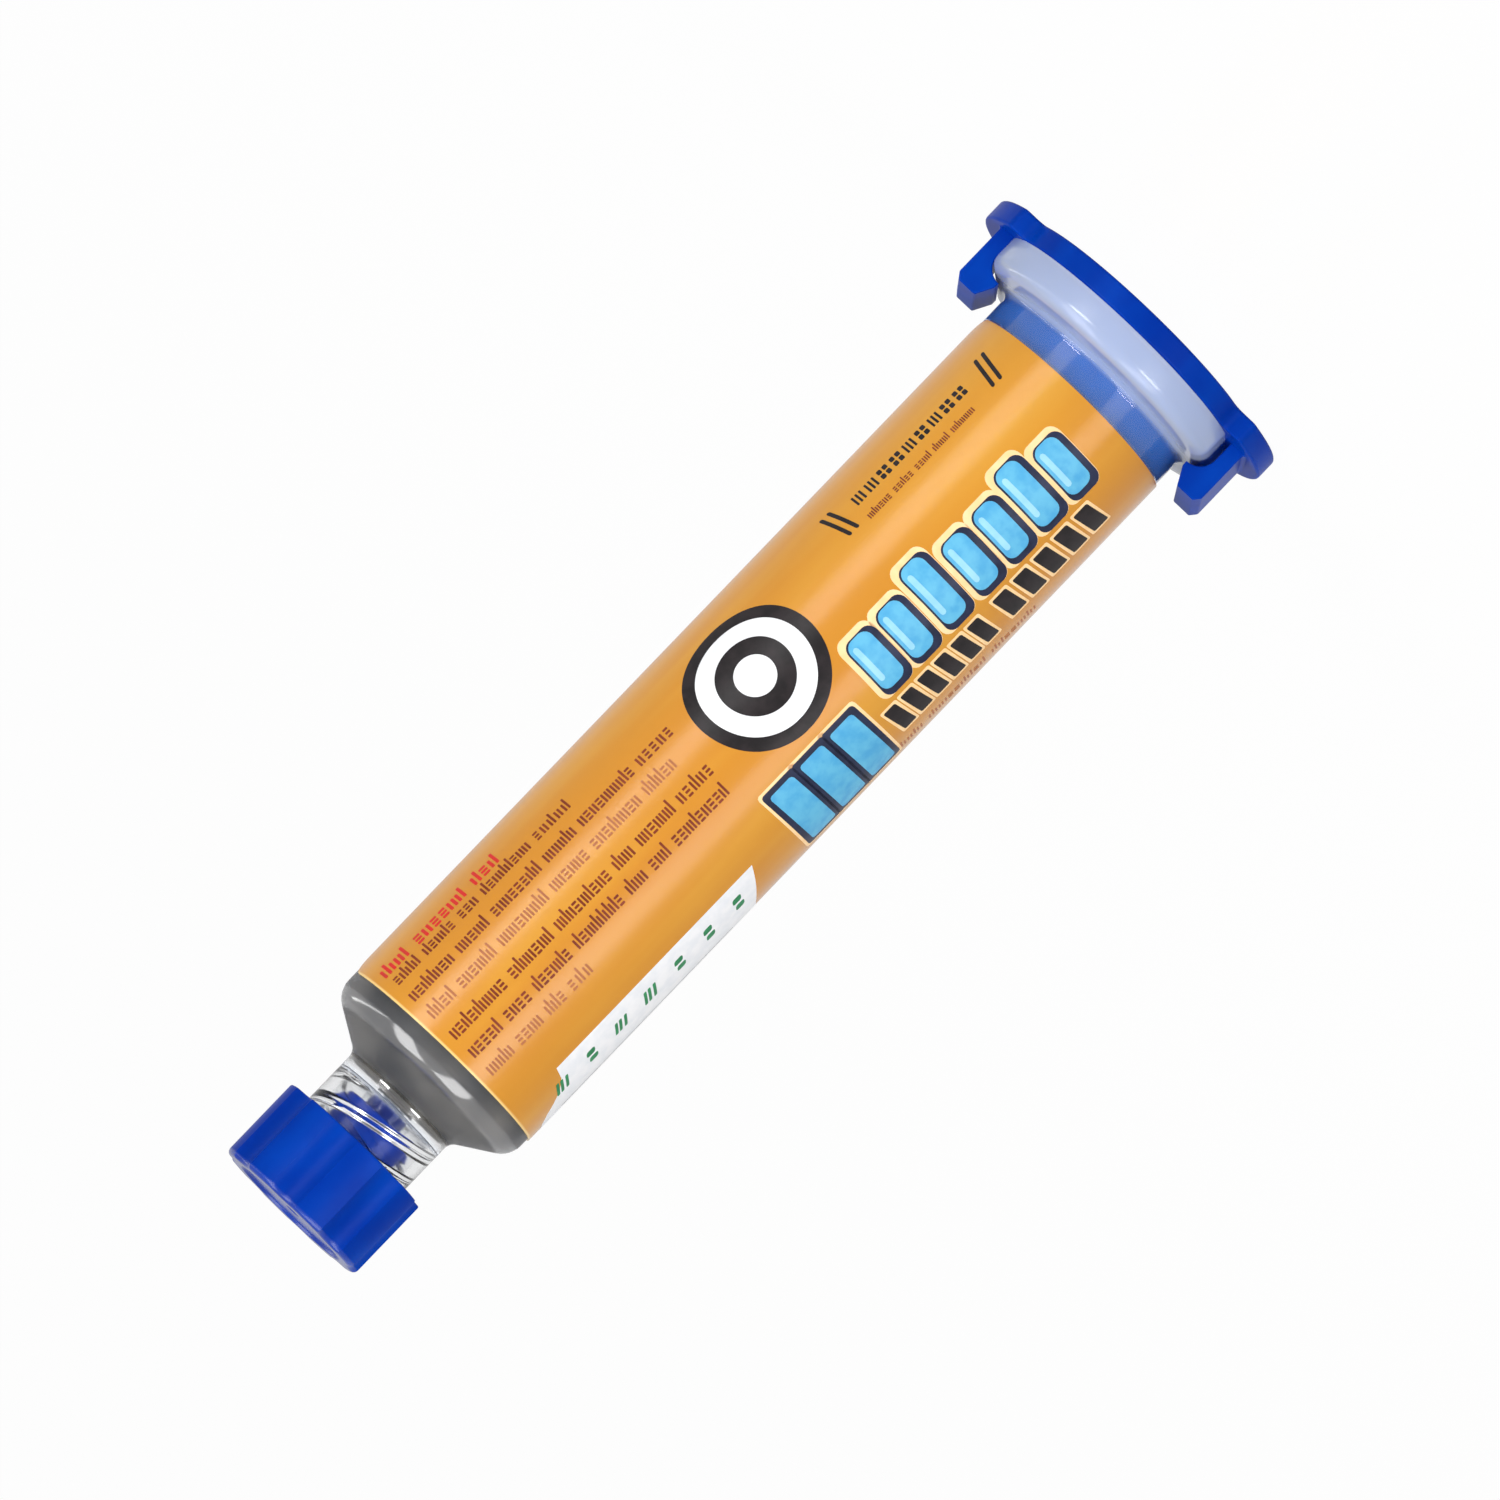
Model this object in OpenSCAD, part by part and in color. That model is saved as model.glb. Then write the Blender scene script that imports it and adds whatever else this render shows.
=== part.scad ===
// Solder paste syringe, a 10 cc dispensing barrel with a hooked end cap and a screwed tip cap.
// Millimetres. It stands on the end cap, with the tip up.
// Origin: centre of the end cap's outer face. +Z runs along the barrel towards the tip.
// The finger flange is long in Y, a little turned about +Z against the end cap, whose hooked arms
// lie over its flats at +X and -X.

/* [Barrel] */
// Outside diameter of the barrel
barrel_od = 18.3; // [18.1:0.1:18.5]
// Wall thickness of the barrel
barrel_wall = 1.2; // [1:0.1:1.3]
// Height at which the parallel barrel ends and the shoulder begins
shoulder_z = 78.3; // [78:0.1:78.8]
// Radius of the shoulder's outer corner
shoulder_r = 2; // [1.6:0.1:2.2]
// Slope of the shoulder's cone, measured from the axis, in degrees
shoulder_slope = 58; // [56:1:60]
// Radius of the fillet between the shoulder and the collar
neck_fillet_r = 1; // [0.6:0.1:1.2]

/* [Finger flange] */
// Radius of the flange's two round ends
flange_r = 11.45; // [11.3:0.05:11.5]
// Distance of each round end's centre from the axis
flange_reach = 3.05; // [2.9:0.05:3.05]
// Distance of the flange's two flats from the axis
flange_flat_x = 11.15; // [11:0.05:11.2]
// Turn of the flange about the axis against the end cap, in degrees
flange_turn = 3.5; // [0:0.5:3.5]
// Thickness of the flange
flange_t = 3; // [2.6:0.1:3.2]
// Rounding of the flange's edge on the side of the tip
flange_edge_r = 1.2; // [0.8:0.1:1.2]
// Radius of the fillet between the flange and the barrel
flange_fillet_r = 0.7; // [0.4:0.1:0.8]

/* [Luer lock] */
// Outside diameter of the collar
collar_od = 10.16; // [10:0.02:10.2]
// Inside diameter of the collar
collar_id = 8.4; // [8.2:0.1:8.5]
// Height of the collar's end
collar_end_z = 89.8; // [89:0.1:90.2]
// Height of the floor between the collar and the tip
collar_floor_z = 83.2; // [83:0.1:83.5]
// Diameter of the tip at its end
tip_end_d = 3.96; // [3.93:0.01:3.99]
// Height of the tip's end
tip_end_z = 91.9; // [91.6:0.1:92.1]
// Diameter of the channel through the tip
channel_d = 2.3; // [2:0.1:2.6]
// Diameter of the pocket where the channel starts
pocket_d = 6.2; // [6:0.1:6.6]
// Height of the pocket's end
pocket_end_z = 82.5; // [82.3:0.1:82.6]
// Lead of the collar's double-start thread
thread_lead = 5; // [4.8:0.1:5.2]
// Diameter over the crests of the collar's inner thread
thread_crest_d = 7.5; // [7.4:0.05:7.7]
// Radial clearance between the crests of the collar's thread and those of the plug
thread_gap = 0.1; // [0.06:0.01:0.15]

/* [Paste and piston] */
// Height of the piston's front face, where the paste begins
paste_z = 31; // [24:0.5:40]
// Length of the piston
piston_len = 12; // [10:0.5:14]
// Radial clearance between the piston's lips and the bore
piston_gap = 0.05; // [0.03:0.01:0.09]
// Depth of the hollow in the piston's back
piston_hollow_depth = 8.5; // [6:0.5:9]

/* [End cap] */
// Thickness of the end cap's plate
plate_t = 1.9; // [1.7:0.1:2.1]
// Radius of the two ears, which is half the width over them
ear_r = 14.5; // [14:0.1:14.5]
// Half width of each ear
ear_half_w = 8; // [7:0.1:8.5]
// Radius of the blend where an ear leaves the plate
ear_blend_r = 1.1; // [0.6:0.1:1.3]
// Depth of the plug ring in the barrel
plug_ring_depth = 6.1; // [5:0.1:6.5]
// Radial clearance between the plug ring and the bore
plug_ring_gap = 0.1; // [0.05:0.01:0.15]
// Wall thickness of the plug ring
plug_ring_wall = 1.3; // [1:0.1:1.6]
// Distance from the axis to the inner face of each arm
arm_inner_x = 11.5; // [11.5:0.05:11.7]
// Thickness of each arm
arm_t = 1.3; // [1.2:0.05:1.6]
// Width of each arm
arm_w = 8.9; // [8:0.1:9]
// Height of the arms' ends
arm_end_z = 7.15; // [6.9:0.05:7.4]
// Distance from the axis to the nose of each hook
hook_x = 9.95; // [9.8:0.05:10.1]
// Slack between the hooks and the flange
hook_slack = 0.35; // [0.1:0.05:0.5]

/* [Tip cap] */
// Diameter over the tip cap's lobes
cap_od = 13.55; // [13.3:0.05:13.7]
// Diameter inside the skirt
cap_id = 11.3; // [11:0.1:11.5]
// Number of lobes round the skirt
cap_lobes = 8; // [6:1:10]
// Depth of the flutes between the lobes
flute_depth = 0.48; // [0.3:0.02:0.5]
// Height of the skirt's rim
cap_rim_z = 87.1; // [86.9:0.1:87.4]
// Height of the closed end
cap_end_z = 94.3; // [94.2:0.1:94.5]
// Thickness of the closed end
cap_end_t = 1; // [0.8:0.1:1.2]
// Rounding of the closed end's edge
cap_edge_r = 0.45; // [0.2:0.05:0.6]
// Height of the threaded plug's end
plug_end_z = 84.3; // [84.1:0.1:84.6]
// Diameter of the plug at the root of its thread
plug_d = 6.5; // [6.3:0.1:6.7]
// Radial clearance between the plug's taper and the tip
taper_gap = 0.054; // [0.04:0.002:0.09]

/* [Label] */
// Height of the label's edge on the side of the flange
label_z = 7.75; // [7.4:0.05:8.5]
// Length of the label along the barrel
label_len = 69.85; // [68:0.05:70]
// Thickness of the label
label_t = 0.16; // [0.16:0.01:0.2]
// Gap between the label's two ends
label_gap_w = 3.5; // [2:0.1:5]
// Radius of the label's corners
label_corner_r = 1.8; // [1:0.1:2.5]

/* [Hidden] */
$fn = 96;
// Shared overrun of a cutter past a face
cut = 1;
// Share of the diameter by which a luer taper narrows, for each millimetre of length
luer_taper = 0.06;
// Steps in each rounded stretch of a turned outline
arc_steps = 14;
// Depth of a thread's root in the wall that carries it
thread_bite = 0.15;

barrel_r = barrel_od/2;
bore_r = barrel_r - barrel_wall;
flange_z = plate_t;
flange_end_z = flange_z + flange_t;
collar_r = collar_od/2;
collar_in_r = collar_id/2;
cone_run = 1/tan(shoulder_slope);
arm_outer_x = arm_inner_x + arm_t;
cap_r = cap_od/2;
// The inner corner of the shoulder starts a little before the outer one
inner_shoulder_z = shoulder_z - 0.2;
inner_shoulder_r = shoulder_r - barrel_wall;
collar_thread_z = collar_floor_z + 0.2;
plug_thread_z = plug_end_z + 0.15;

// Points of an arc about a centre, in the plane of a turned outline
function arc(x, y, r, from, to) =
    [for (i = [0:arc_steps]) let (a = from + (to - from)*i/arc_steps) [x + r*cos(a), y + r*sin(a)]];

// Radius of the luer tip at a height
function tip_r(z) = tip_end_d/2 + luer_taper/2*(tip_end_z - z);

// Outline of the shoulder from the barrel to the collar, outside
function outer_shoulder() =
    let (corner_z = shoulder_z + shoulder_r*sin(shoulder_slope),
         corner_x = barrel_r - shoulder_r*(1 - cos(shoulder_slope)),
         meet_z = corner_z + (corner_x - collar_r)*cone_run,
         blend = neck_fillet_r*tan(shoulder_slope/2))
    concat(arc(barrel_r - shoulder_r, shoulder_z, shoulder_r, 0, shoulder_slope),
           arc(collar_r + neck_fillet_r, meet_z + blend, neck_fillet_r, 180 + shoulder_slope, 180));

// Outline of the shoulder from the bore to the pocket, inside
function inner_shoulder(gap = 0) =
    let (r = inner_shoulder_r - gap, x = bore_r - inner_shoulder_r,
         corner_z = inner_shoulder_z + r*sin(shoulder_slope), corner_x = x + r*cos(shoulder_slope))
    concat(arc(x, inner_shoulder_z, r, 0, shoulder_slope),
           [[pocket_d/2 - gap, corner_z + (corner_x - pocket_d/2 + gap)*cone_run]]);

// Plan of the finger flange, two round ends cut off by flats
module flange_plan() {
    intersection() {
        union() {
            for (side = [-1, 1]) translate([0, side*flange_reach]) circle(flange_r);
            square([2*flange_r, 2*flange_reach], center = true);
        }
        square([2*flange_flat_x, 2*(flange_reach + flange_r)], center = true);
    }
}

// Half section of the flange's rim, with its rounded edge on the side of the tip
module rim_section(r) {
    square([r, flange_t - flange_edge_r]);
    square([r - flange_edge_r, flange_t]);
    translate([r - flange_edge_r, flange_t - flange_edge_r]) circle(flange_edge_r);
}

// Bar along Y with that rim on both sides
module rimmed_bar(r, half_len) {
    for (side = [0, 180]) rotate([0, 0, side]) translate([0, half_len, 0])
        rotate([90, 0, 0]) linear_extrude(2*half_len) rim_section(r);
}

// Finger flange with a rounded edge all round
module flange() {
    translate([0, 0, flange_z]) rotate([0, 0, flange_turn]) intersection() {
        union() {
            for (side = [-1, 1]) translate([0, side*flange_reach, 0])
                rotate_extrude() intersection() {
                    rim_section(flange_r);
                    square([flange_r, flange_t]);
                }
            rimmed_bar(flange_r, flange_reach);
        }
        rimmed_bar(flange_flat_x, flange_reach + flange_r + cut);
    }
}

// One helical ridge on a round wall, from its root to its crest, faded out at both ends
module thread_ridge(root_r, crest_r, from_z, to_z, turn) {
    root_half_w = 0.62;
    crest_half_w = 0.28;
    step = 10;
    fade_steps = 4;
    steps = floor((to_z - from_z - 2*root_half_w)/thread_lead*360/step);
    function share(i) = min(1, (i + 0.15)/fade_steps, (steps - i + 0.15)/fade_steps);
    function ring(i) =
        let (a = turn + i*step, z = from_z + root_half_w + thread_lead*i*step/360,
             crest = root_r + (crest_r - root_r)*share(i))
        [for (p = [[root_r, -root_half_w], [crest, -crest_half_w], [crest, crest_half_w],
                   [root_r, root_half_w]]) [p[0]*cos(a), p[0]*sin(a), z + p[1]]];
    points = [for (i = [0:steps]) each ring(i)];
    sides = [for (i = [0:steps - 1], k = [0:3])
        let (a = 4*i + k, b = 4*i + (k + 1)%4) each [[a, b, b + 4], [a, b + 4, a + 4]]];
    last = 4*steps;
    ends = [[0, 3, 2], [0, 2, 1], [last, last + 1, last + 2], [last, last + 2, last + 3]];
    faces = concat(sides, ends);
    // An inner thread stands inwards, which turns its faces the other way round
    polyhedron(points, crest_r < root_r ? [for (f = faces) [f[2], f[1], f[0]]] : faces);
}

// Two such ridges, half a turn apart
module double_thread(root_r, crest_r, from_z, to_z, turn = 0) {
    for (start = [0, 180]) thread_ridge(root_r, crest_r, from_z, to_z, turn + start);
}

// Tube, shoulder, collar and tip, turned about the axis
module barrel_body() {
    fillet_z = flange_end_z + flange_fillet_r;
    rotate_extrude() polygon(concat(
        [[0, flange_z], [barrel_r + flange_fillet_r, flange_z]],
        arc(barrel_r + flange_fillet_r, fillet_z, flange_fillet_r, 270, 180),
        outer_shoulder(),
        [[collar_r, collar_end_z - 0.2], [collar_r - 0.2, collar_end_z],
         [collar_in_r + 0.2, collar_end_z], [collar_in_r, collar_end_z - 0.2],
         [collar_in_r, collar_floor_z], [tip_r(collar_floor_z), collar_floor_z],
         [tip_r(tip_end_z - 0.2), tip_end_z - 0.2], [tip_r(tip_end_z) - 0.15, tip_end_z],
         [0, tip_end_z]]));
}

// Hollow of the barrel: bore, inner shoulder, pocket and channel
module barrel_hollow() {
    rotate_extrude() polygon(concat(
        [[0, flange_z - cut], [bore_r, flange_z - cut]],
        inner_shoulder(),
        [[pocket_d/2, pocket_end_z], [channel_d/2, pocket_end_z],
         [channel_d/2, tip_end_z + cut], [0, tip_end_z + cut]]));
}

module barrel() {
    color("Lavender", 0.5) difference() {
        union() {
            flange();
            barrel_body();
            double_thread(collar_in_r + thread_bite, thread_crest_d/2, collar_thread_z, collar_end_z - 0.2);
        }
        barrel_hollow();
    }
}

// Paste in the bore, the shoulder, the pocket and the tip's channel
module solder_paste() {
    skin = 0.02;
    fill_end_z = tip_end_z - 0.4;
    color("DimGray") rotate_extrude() polygon(concat(
        [[0, paste_z], [bore_r - skin, paste_z]],
        inner_shoulder(skin),
        [[pocket_d/2 - skin, pocket_end_z - skin], [channel_d/2 - skin, pocket_end_z - skin],
         [channel_d/2 - skin, fill_end_z], [0, fill_end_z]]));
}

// Wiper piston: a lip at each end, a waist between them and a hollow back
module piston() {
    lip_r = bore_r - piston_gap;
    waist_r = bore_r - 0.45;
    hollow_r = bore_r - 1.75;
    lip_w = 1.4;
    lip_run = 0.8;
    front = paste_z - 0.02;
    back = front - piston_len;
    color("RoyalBlue") difference() {
        rotate_extrude() polygon([
            [0, back], [lip_r - 0.3, back], [lip_r, back + 0.5], [lip_r, back + lip_w],
            [waist_r, back + lip_w + lip_run], [waist_r, front - lip_w - lip_run],
            [lip_r, front - lip_w], [lip_r, front - 0.4], [lip_r - 0.4, front], [0, front]]);
        translate([0, 0, back - cut]) cylinder(r = hollow_r, h = piston_hollow_depth + cut);
    }
}

// Plan of the end cap's plate: the flange's own plan with a round ear on each side
module plate_plan() {
    ear_root_x = sqrt(pow(flange_r, 2) - pow(ear_half_w - flange_reach, 2));
    // Where a blend circle touches both the round end and the ear's straight edge
    blend_y = ear_half_w + ear_blend_r;
    blend_x = sqrt(pow(flange_r + ear_blend_r, 2) - pow(blend_y - flange_reach, 2));
    flange_plan();
    intersection() {
        circle(ear_r);
        square([2*ear_r, 2*ear_half_w], center = true);
    }
    for (x = [-1, 1], y = [-1, 1]) scale([x, y]) difference() {
        translate([ear_root_x - 1, ear_half_w - 0.5])
            square([blend_x - ear_root_x + 1, ear_blend_r*0.8 + 0.5]);
        translate([blend_x, blend_y]) circle(ear_blend_r);
    }
}

// One arm with its hook, on the +X side
module hooked_arm() {
    catch_z = flange_end_z + hook_slack;
    catch_r = arm_inner_x - hook_x;
    nose_h = 0.45;
    lead_in = 0.78;
    root_r = 0.3;
    translate([0, arm_w/2, 0]) rotate([90, 0, 0]) linear_extrude(arm_w) polygon(concat(
        [[arm_inner_x, plate_t/2], [arm_outer_x + root_r, plate_t/2]],
        arc(arm_outer_x + root_r, plate_t + root_r, root_r, 270, 180),
        [[arm_outer_x, arm_end_z - 0.55], [arm_outer_x - 0.45, arm_end_z],
         [hook_x + lead_in, arm_end_z], [hook_x, catch_z + nose_h]],
        arc(hook_x, catch_z - catch_r, catch_r, 90, 0)));
}

module end_cap() {
    ring_r = bore_r - plug_ring_gap;
    ring_end_z = plate_t + plug_ring_depth;
    lead = 0.6;
    color("MediumBlue") {
        linear_extrude(plate_t) plate_plan();
        hooked_arm();
        rotate([0, 0, 180]) hooked_arm();
        rotate_extrude() polygon([
            [ring_r - plug_ring_wall, plate_t/2], [ring_r, plate_t/2], [ring_r, ring_end_z - lead],
            [ring_r - lead/2, ring_end_z], [ring_r - plug_ring_wall, ring_end_z]]);
    }
}

// Skirt with its flutes, cut by round cutters between the lobes
module fluted_skirt() {
    // Half the angle that one flute spans, a quarter of the pitch
    half_span = 90/cap_lobes;
    half_chord = cap_r*sin(half_span);
    rise = cap_r*cos(half_span) - (cap_r - flute_depth);
    cutter_r = (pow(half_chord, 2) + pow(rise, 2))/(2*rise);
    // Turn of the flutes about the axis
    flute_turn = 7;
    difference() {
        translate([0, 0, cap_rim_z]) rotate_extrude() {
            h = cap_end_z - cap_rim_z;
            square([cap_r, h - cap_edge_r]);
            square([cap_r - cap_edge_r, h]);
            intersection() {
                translate([cap_r - cap_edge_r, h - cap_edge_r]) circle(cap_edge_r);
                square([cap_r, h]);
            }
        }
        for (i = [0:cap_lobes - 1]) rotate([0, 0, flute_turn + 360*i/cap_lobes])
            translate([cap_r - flute_depth + cutter_r, 0, cap_rim_z - cut])
                cylinder(r = cutter_r, h = cap_end_z - cap_rim_z + 2*cut);
    }
}

// Tip cap: fluted skirt, closed end and the plug that screws into the collar
module tip_cap() {
    inner_z = cap_end_z - cap_end_t;
    plug_r = plug_d/2;
    mouth_r = tip_r(plug_end_z) + taper_gap;
    end_r = tip_r(tip_end_z + 0.4) + taper_gap;
    color("MediumBlue") difference() {
        union() {
            difference() {
                fluted_skirt();
                translate([0, 0, cap_rim_z - cut]) cylinder(d = cap_id, h = inner_z - cap_rim_z + cut);
            }
            rotate_extrude() polygon([
                [0, plug_end_z], [plug_r - 0.25, plug_end_z], [plug_r, plug_end_z + 0.25],
                [plug_r, inner_z + cap_end_t/2], [0, inner_z + cap_end_t/2]]);
            // A quarter turn off the collar's thread puts these ridges into its grooves
            double_thread(plug_r - thread_bite, thread_crest_d/2 - thread_gap, plug_thread_z, 91,
                          (plug_thread_z - collar_thread_z)/thread_lead*360 + 90);
        }
        translate([0, 0, plug_end_z - 0.001])
            cylinder(r1 = mouth_r, r2 = end_r, h = tip_end_z + 0.4 - plug_end_z);
        translate([0, 0, tip_end_z + 0.3]) cylinder(r = end_r, h = inner_z - tip_end_z - 0.3);
    }
}

// Label wrapped round the barrel, with a gap between its rounded ends on the +X side
module label() {
    half_gap = label_gap_w/2;
    color("DarkOrange") difference() {
        translate([0, 0, label_z]) cylinder(r = barrel_r + label_t, h = label_len);
        translate([0, 0, label_z - cut]) cylinder(r = barrel_r, h = label_len + 2*cut);
        // The gap, widened at both ends by the rounding of the corners
        translate([0, 0, label_z]) rotate([90, 0, 90]) linear_extrude(barrel_r + cut) {
            translate([-half_gap, -cut]) square([label_gap_w, label_len + 2*cut]);
            for (x = [-1, 1], end = [0, 1]) translate([x*half_gap, end*label_len])
                scale([x, 1 - 2*end]) difference() {
                    translate([-0.1, -cut]) square([label_corner_r + 0.1, label_corner_r + cut]);
                    translate([label_corner_r, label_corner_r]) circle(label_corner_r);
                    translate([label_corner_r, -2*cut]) square([cut, label_corner_r + 3*cut]);
                }
        }
    }
}

barrel();
solder_paste();
piston();
end_cap();
tip_cap();
label();
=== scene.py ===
"""Looks of a 10 cc solder paste syringe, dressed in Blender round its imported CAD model.

The syringe stands on its end cap with the tip up. Sizes in the classes are in millimetres,
and meshes are made in metres, in the frame of the CAD model: +Z runs towards the tip.
"""

import logging
import math
from dataclasses import dataclass, field
from enum import Enum
from random import Random
from typing import Any, Sequence

import bmesh
import bpy
import numpy as np
from mathutils import Matrix, Vector


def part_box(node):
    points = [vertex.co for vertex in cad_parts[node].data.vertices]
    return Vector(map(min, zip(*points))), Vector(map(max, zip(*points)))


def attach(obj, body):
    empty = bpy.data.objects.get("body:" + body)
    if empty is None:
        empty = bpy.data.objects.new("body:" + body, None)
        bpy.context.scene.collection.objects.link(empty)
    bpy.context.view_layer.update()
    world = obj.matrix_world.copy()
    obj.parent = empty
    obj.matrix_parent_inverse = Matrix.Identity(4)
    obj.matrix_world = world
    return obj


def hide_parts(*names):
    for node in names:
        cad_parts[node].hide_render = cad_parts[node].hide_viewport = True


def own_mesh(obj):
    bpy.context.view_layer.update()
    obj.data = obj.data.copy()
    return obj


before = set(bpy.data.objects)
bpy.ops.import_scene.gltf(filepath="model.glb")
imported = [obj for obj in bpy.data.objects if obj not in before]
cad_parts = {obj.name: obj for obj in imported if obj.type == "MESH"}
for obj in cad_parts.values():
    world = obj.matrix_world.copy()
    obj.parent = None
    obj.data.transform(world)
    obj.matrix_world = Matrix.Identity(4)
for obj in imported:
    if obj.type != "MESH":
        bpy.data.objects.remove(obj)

LOG = logging.getLogger("syringe")
MM = 0.001
TURN = 2 * math.pi
Triple = tuple[float, float, float]
Row = np.ndarray
# A pitch longer than any line, which gives each line one mark, and the shortest line
ONE_MARK = 500.0
SHORT = 0.001


class Body(str, Enum):
    """Bodies of the CAD model that a piece can ride on."""

    BARREL = "barrel"
    PISTON = "piston"
    TIP_CAP = "tip_cap"


class Slot(str, Enum):
    """Names of material slots."""

    BARREL = "barrel"
    PASTE = "paste"
    PISTON = "piston"
    END_CAP = "end_cap"
    TIP_CAP = "tip_cap"
    LABEL = "label"


def linear(red: int, green: int, blue: int) -> tuple[float, float, float, float]:
    """Turns a colour as a screen shows it, 0 to 255, into the renderer's linear one."""
    shares = [c / 255 for c in (red, green, blue)]
    return tuple(s / 12.92 if s <= 0.04045 else ((s + 0.055) / 1.055) ** 2.4 for s in shares) + (1.0,)


def node_box(node: str) -> tuple[Vector, Vector]:
    """Lowest and highest corner of a CAD node, in millimetres."""
    low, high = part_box(node)
    return low / MM, high / MM


# Node trees


class Socket:
    """One output of a node, which takes part in Python's sums."""

    def __init__(self, graph: "Graph", output: bpy.types.NodeSocket) -> None:
        """Keeps the graph and the output."""
        self.graph = graph
        self.output = output

    def __add__(self, other: Any) -> "Socket":
        """Sum of two values."""
        return self.graph.maths("ADD", self, other)

    def __sub__(self, other: Any) -> "Socket":
        """Difference of two values."""
        return self.graph.maths("SUBTRACT", self, other)

    def __rsub__(self, other: Any) -> "Socket":
        """Difference with the number first."""
        return self.graph.maths("SUBTRACT", other, self)

    def __mul__(self, other: Any) -> "Socket":
        """Product of two values."""
        return self.graph.maths("MULTIPLY", self, other)

    def __truediv__(self, other: Any) -> "Socket":
        """Quotient of two values."""
        return self.graph.maths("DIVIDE", self, other)

    def __rtruediv__(self, other: Any) -> "Socket":
        """Quotient with the number first."""
        return self.graph.maths("DIVIDE", other, self)

    __radd__ = __add__
    __rmul__ = __mul__

    def ramp(self, low: float, high: float) -> "Socket":
        """Goes smoothly from 0 at low to 1 at high, or the other way round."""
        return self.graph.add(
            "ShaderNodeMapRange",
            {"interpolation_type": "SMOOTHSTEP"},
            {"Value": self, "From Min": low, "From Max": high},
        )


class Graph:
    """A node tree with one method that adds any node."""

    def __init__(self, tree: bpy.types.NodeTree) -> None:
        """Keeps the tree and empties it."""
        self.tree = tree
        tree.nodes.clear()

    def add(
        self,
        kind: str,
        settings: dict[str, Any] | None = None,
        inputs: dict[Any, Any] | None = None,
        output: int | str = 0,
    ) -> Socket:
        """Adds one node.

        Args:
            kind: Blender's name of the node type.
            settings: properties of the node, set before its sockets.
            inputs: values or links of its sockets, by name or number.
            output: which output comes back.

        Returns:
            The chosen output, or its first one.
        """
        node = self.tree.nodes.new(kind)
        for name, value in (settings or {}).items():
            setattr(node, name, value)
        for name, value in (inputs or {}).items():
            if isinstance(value, Socket):
                self.tree.links.new(value.output, node.inputs[name])
            else:
                node.inputs[name].default_value = value
        return Socket(self, node.outputs[output]) if len(node.outputs) else None

    def maths(self, operation: str, first: Any, second: Any = 0.0) -> Socket:
        """Adds a Math node for one operation on two values."""
        return self.add("ShaderNodeMath", {"operation": operation}, {0: first, 1: second})

    def vector_maths(self, operation: str, first: Any, second: Any) -> Socket:
        """Adds a Vector Math node for one operation on two vectors."""
        return self.add("ShaderNodeVectorMath", {"operation": operation}, {0: first, 1: second})

    def blend(self, share: Any, first: Any, second: Any) -> Socket:
        """Mixes two colours by a share."""
        return self.add(
            "ShaderNodeMix", {"data_type": "RGBA"}, {0: share, 6: first, 7: second}, output=2
        )


class Finish(Graph):
    """The node tree of one material."""

    def __init__(self, name: str) -> None:
        """Makes the material and a link to its object's own coordinates."""
        self.material = bpy.data.materials.new(name)
        self.material.use_nodes = True
        super().__init__(self.material.node_tree)
        self.place = self.add("ShaderNodeTexCoord", output="Object")

    def noise(self, scale: float, detail: float = 2.0, stretch: Triple = (1, 1, 1)) -> Socket:
        """Adds a noise over the piece.

        Args:
            scale: blotches per metre, roughly.
            detail: number of finer layers.
            stretch: factor on each axis, below 1 to draw the noise out along it.

        Returns:
            The noise's value, 0 to 1.
        """
        spread = self.vector_maths("MULTIPLY", self.place, stretch)
        return self.add(
            "ShaderNodeTexNoise", None, {"Vector": spread, "Scale": scale, "Detail": detail}
        )

    def axes(self) -> tuple[Socket, Socket, Socket]:
        """Splits the piece's coordinates, in metres."""
        x = self.add("ShaderNodeSeparateXYZ", None, {0: self.place})
        outputs = x.output.node.outputs
        return x, Socket(self, outputs[1]), Socket(self, outputs[2])

    def bump(self, height: Socket, strength: float, distance: float) -> Socket:
        """Turns a height into a normal."""
        return self.add(
            "ShaderNodeBump", None, {"Strength": strength, "Distance": distance, "Height": height}
        )

    def plastic(self, **inputs: Any) -> Socket:
        """Adds a Principled shader with these sockets, underscores for blanks."""
        named = {name.replace("_", " "): value for name, value in inputs.items()}
        return self.add("ShaderNodeBsdfPrincipled", None, named)

    def close(self, shader: Socket) -> bpy.types.Material:
        """Links the shader to the output and hands the material over."""
        self.add("ShaderNodeOutputMaterial", None, {"Surface": shader})
        return self.material


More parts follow.
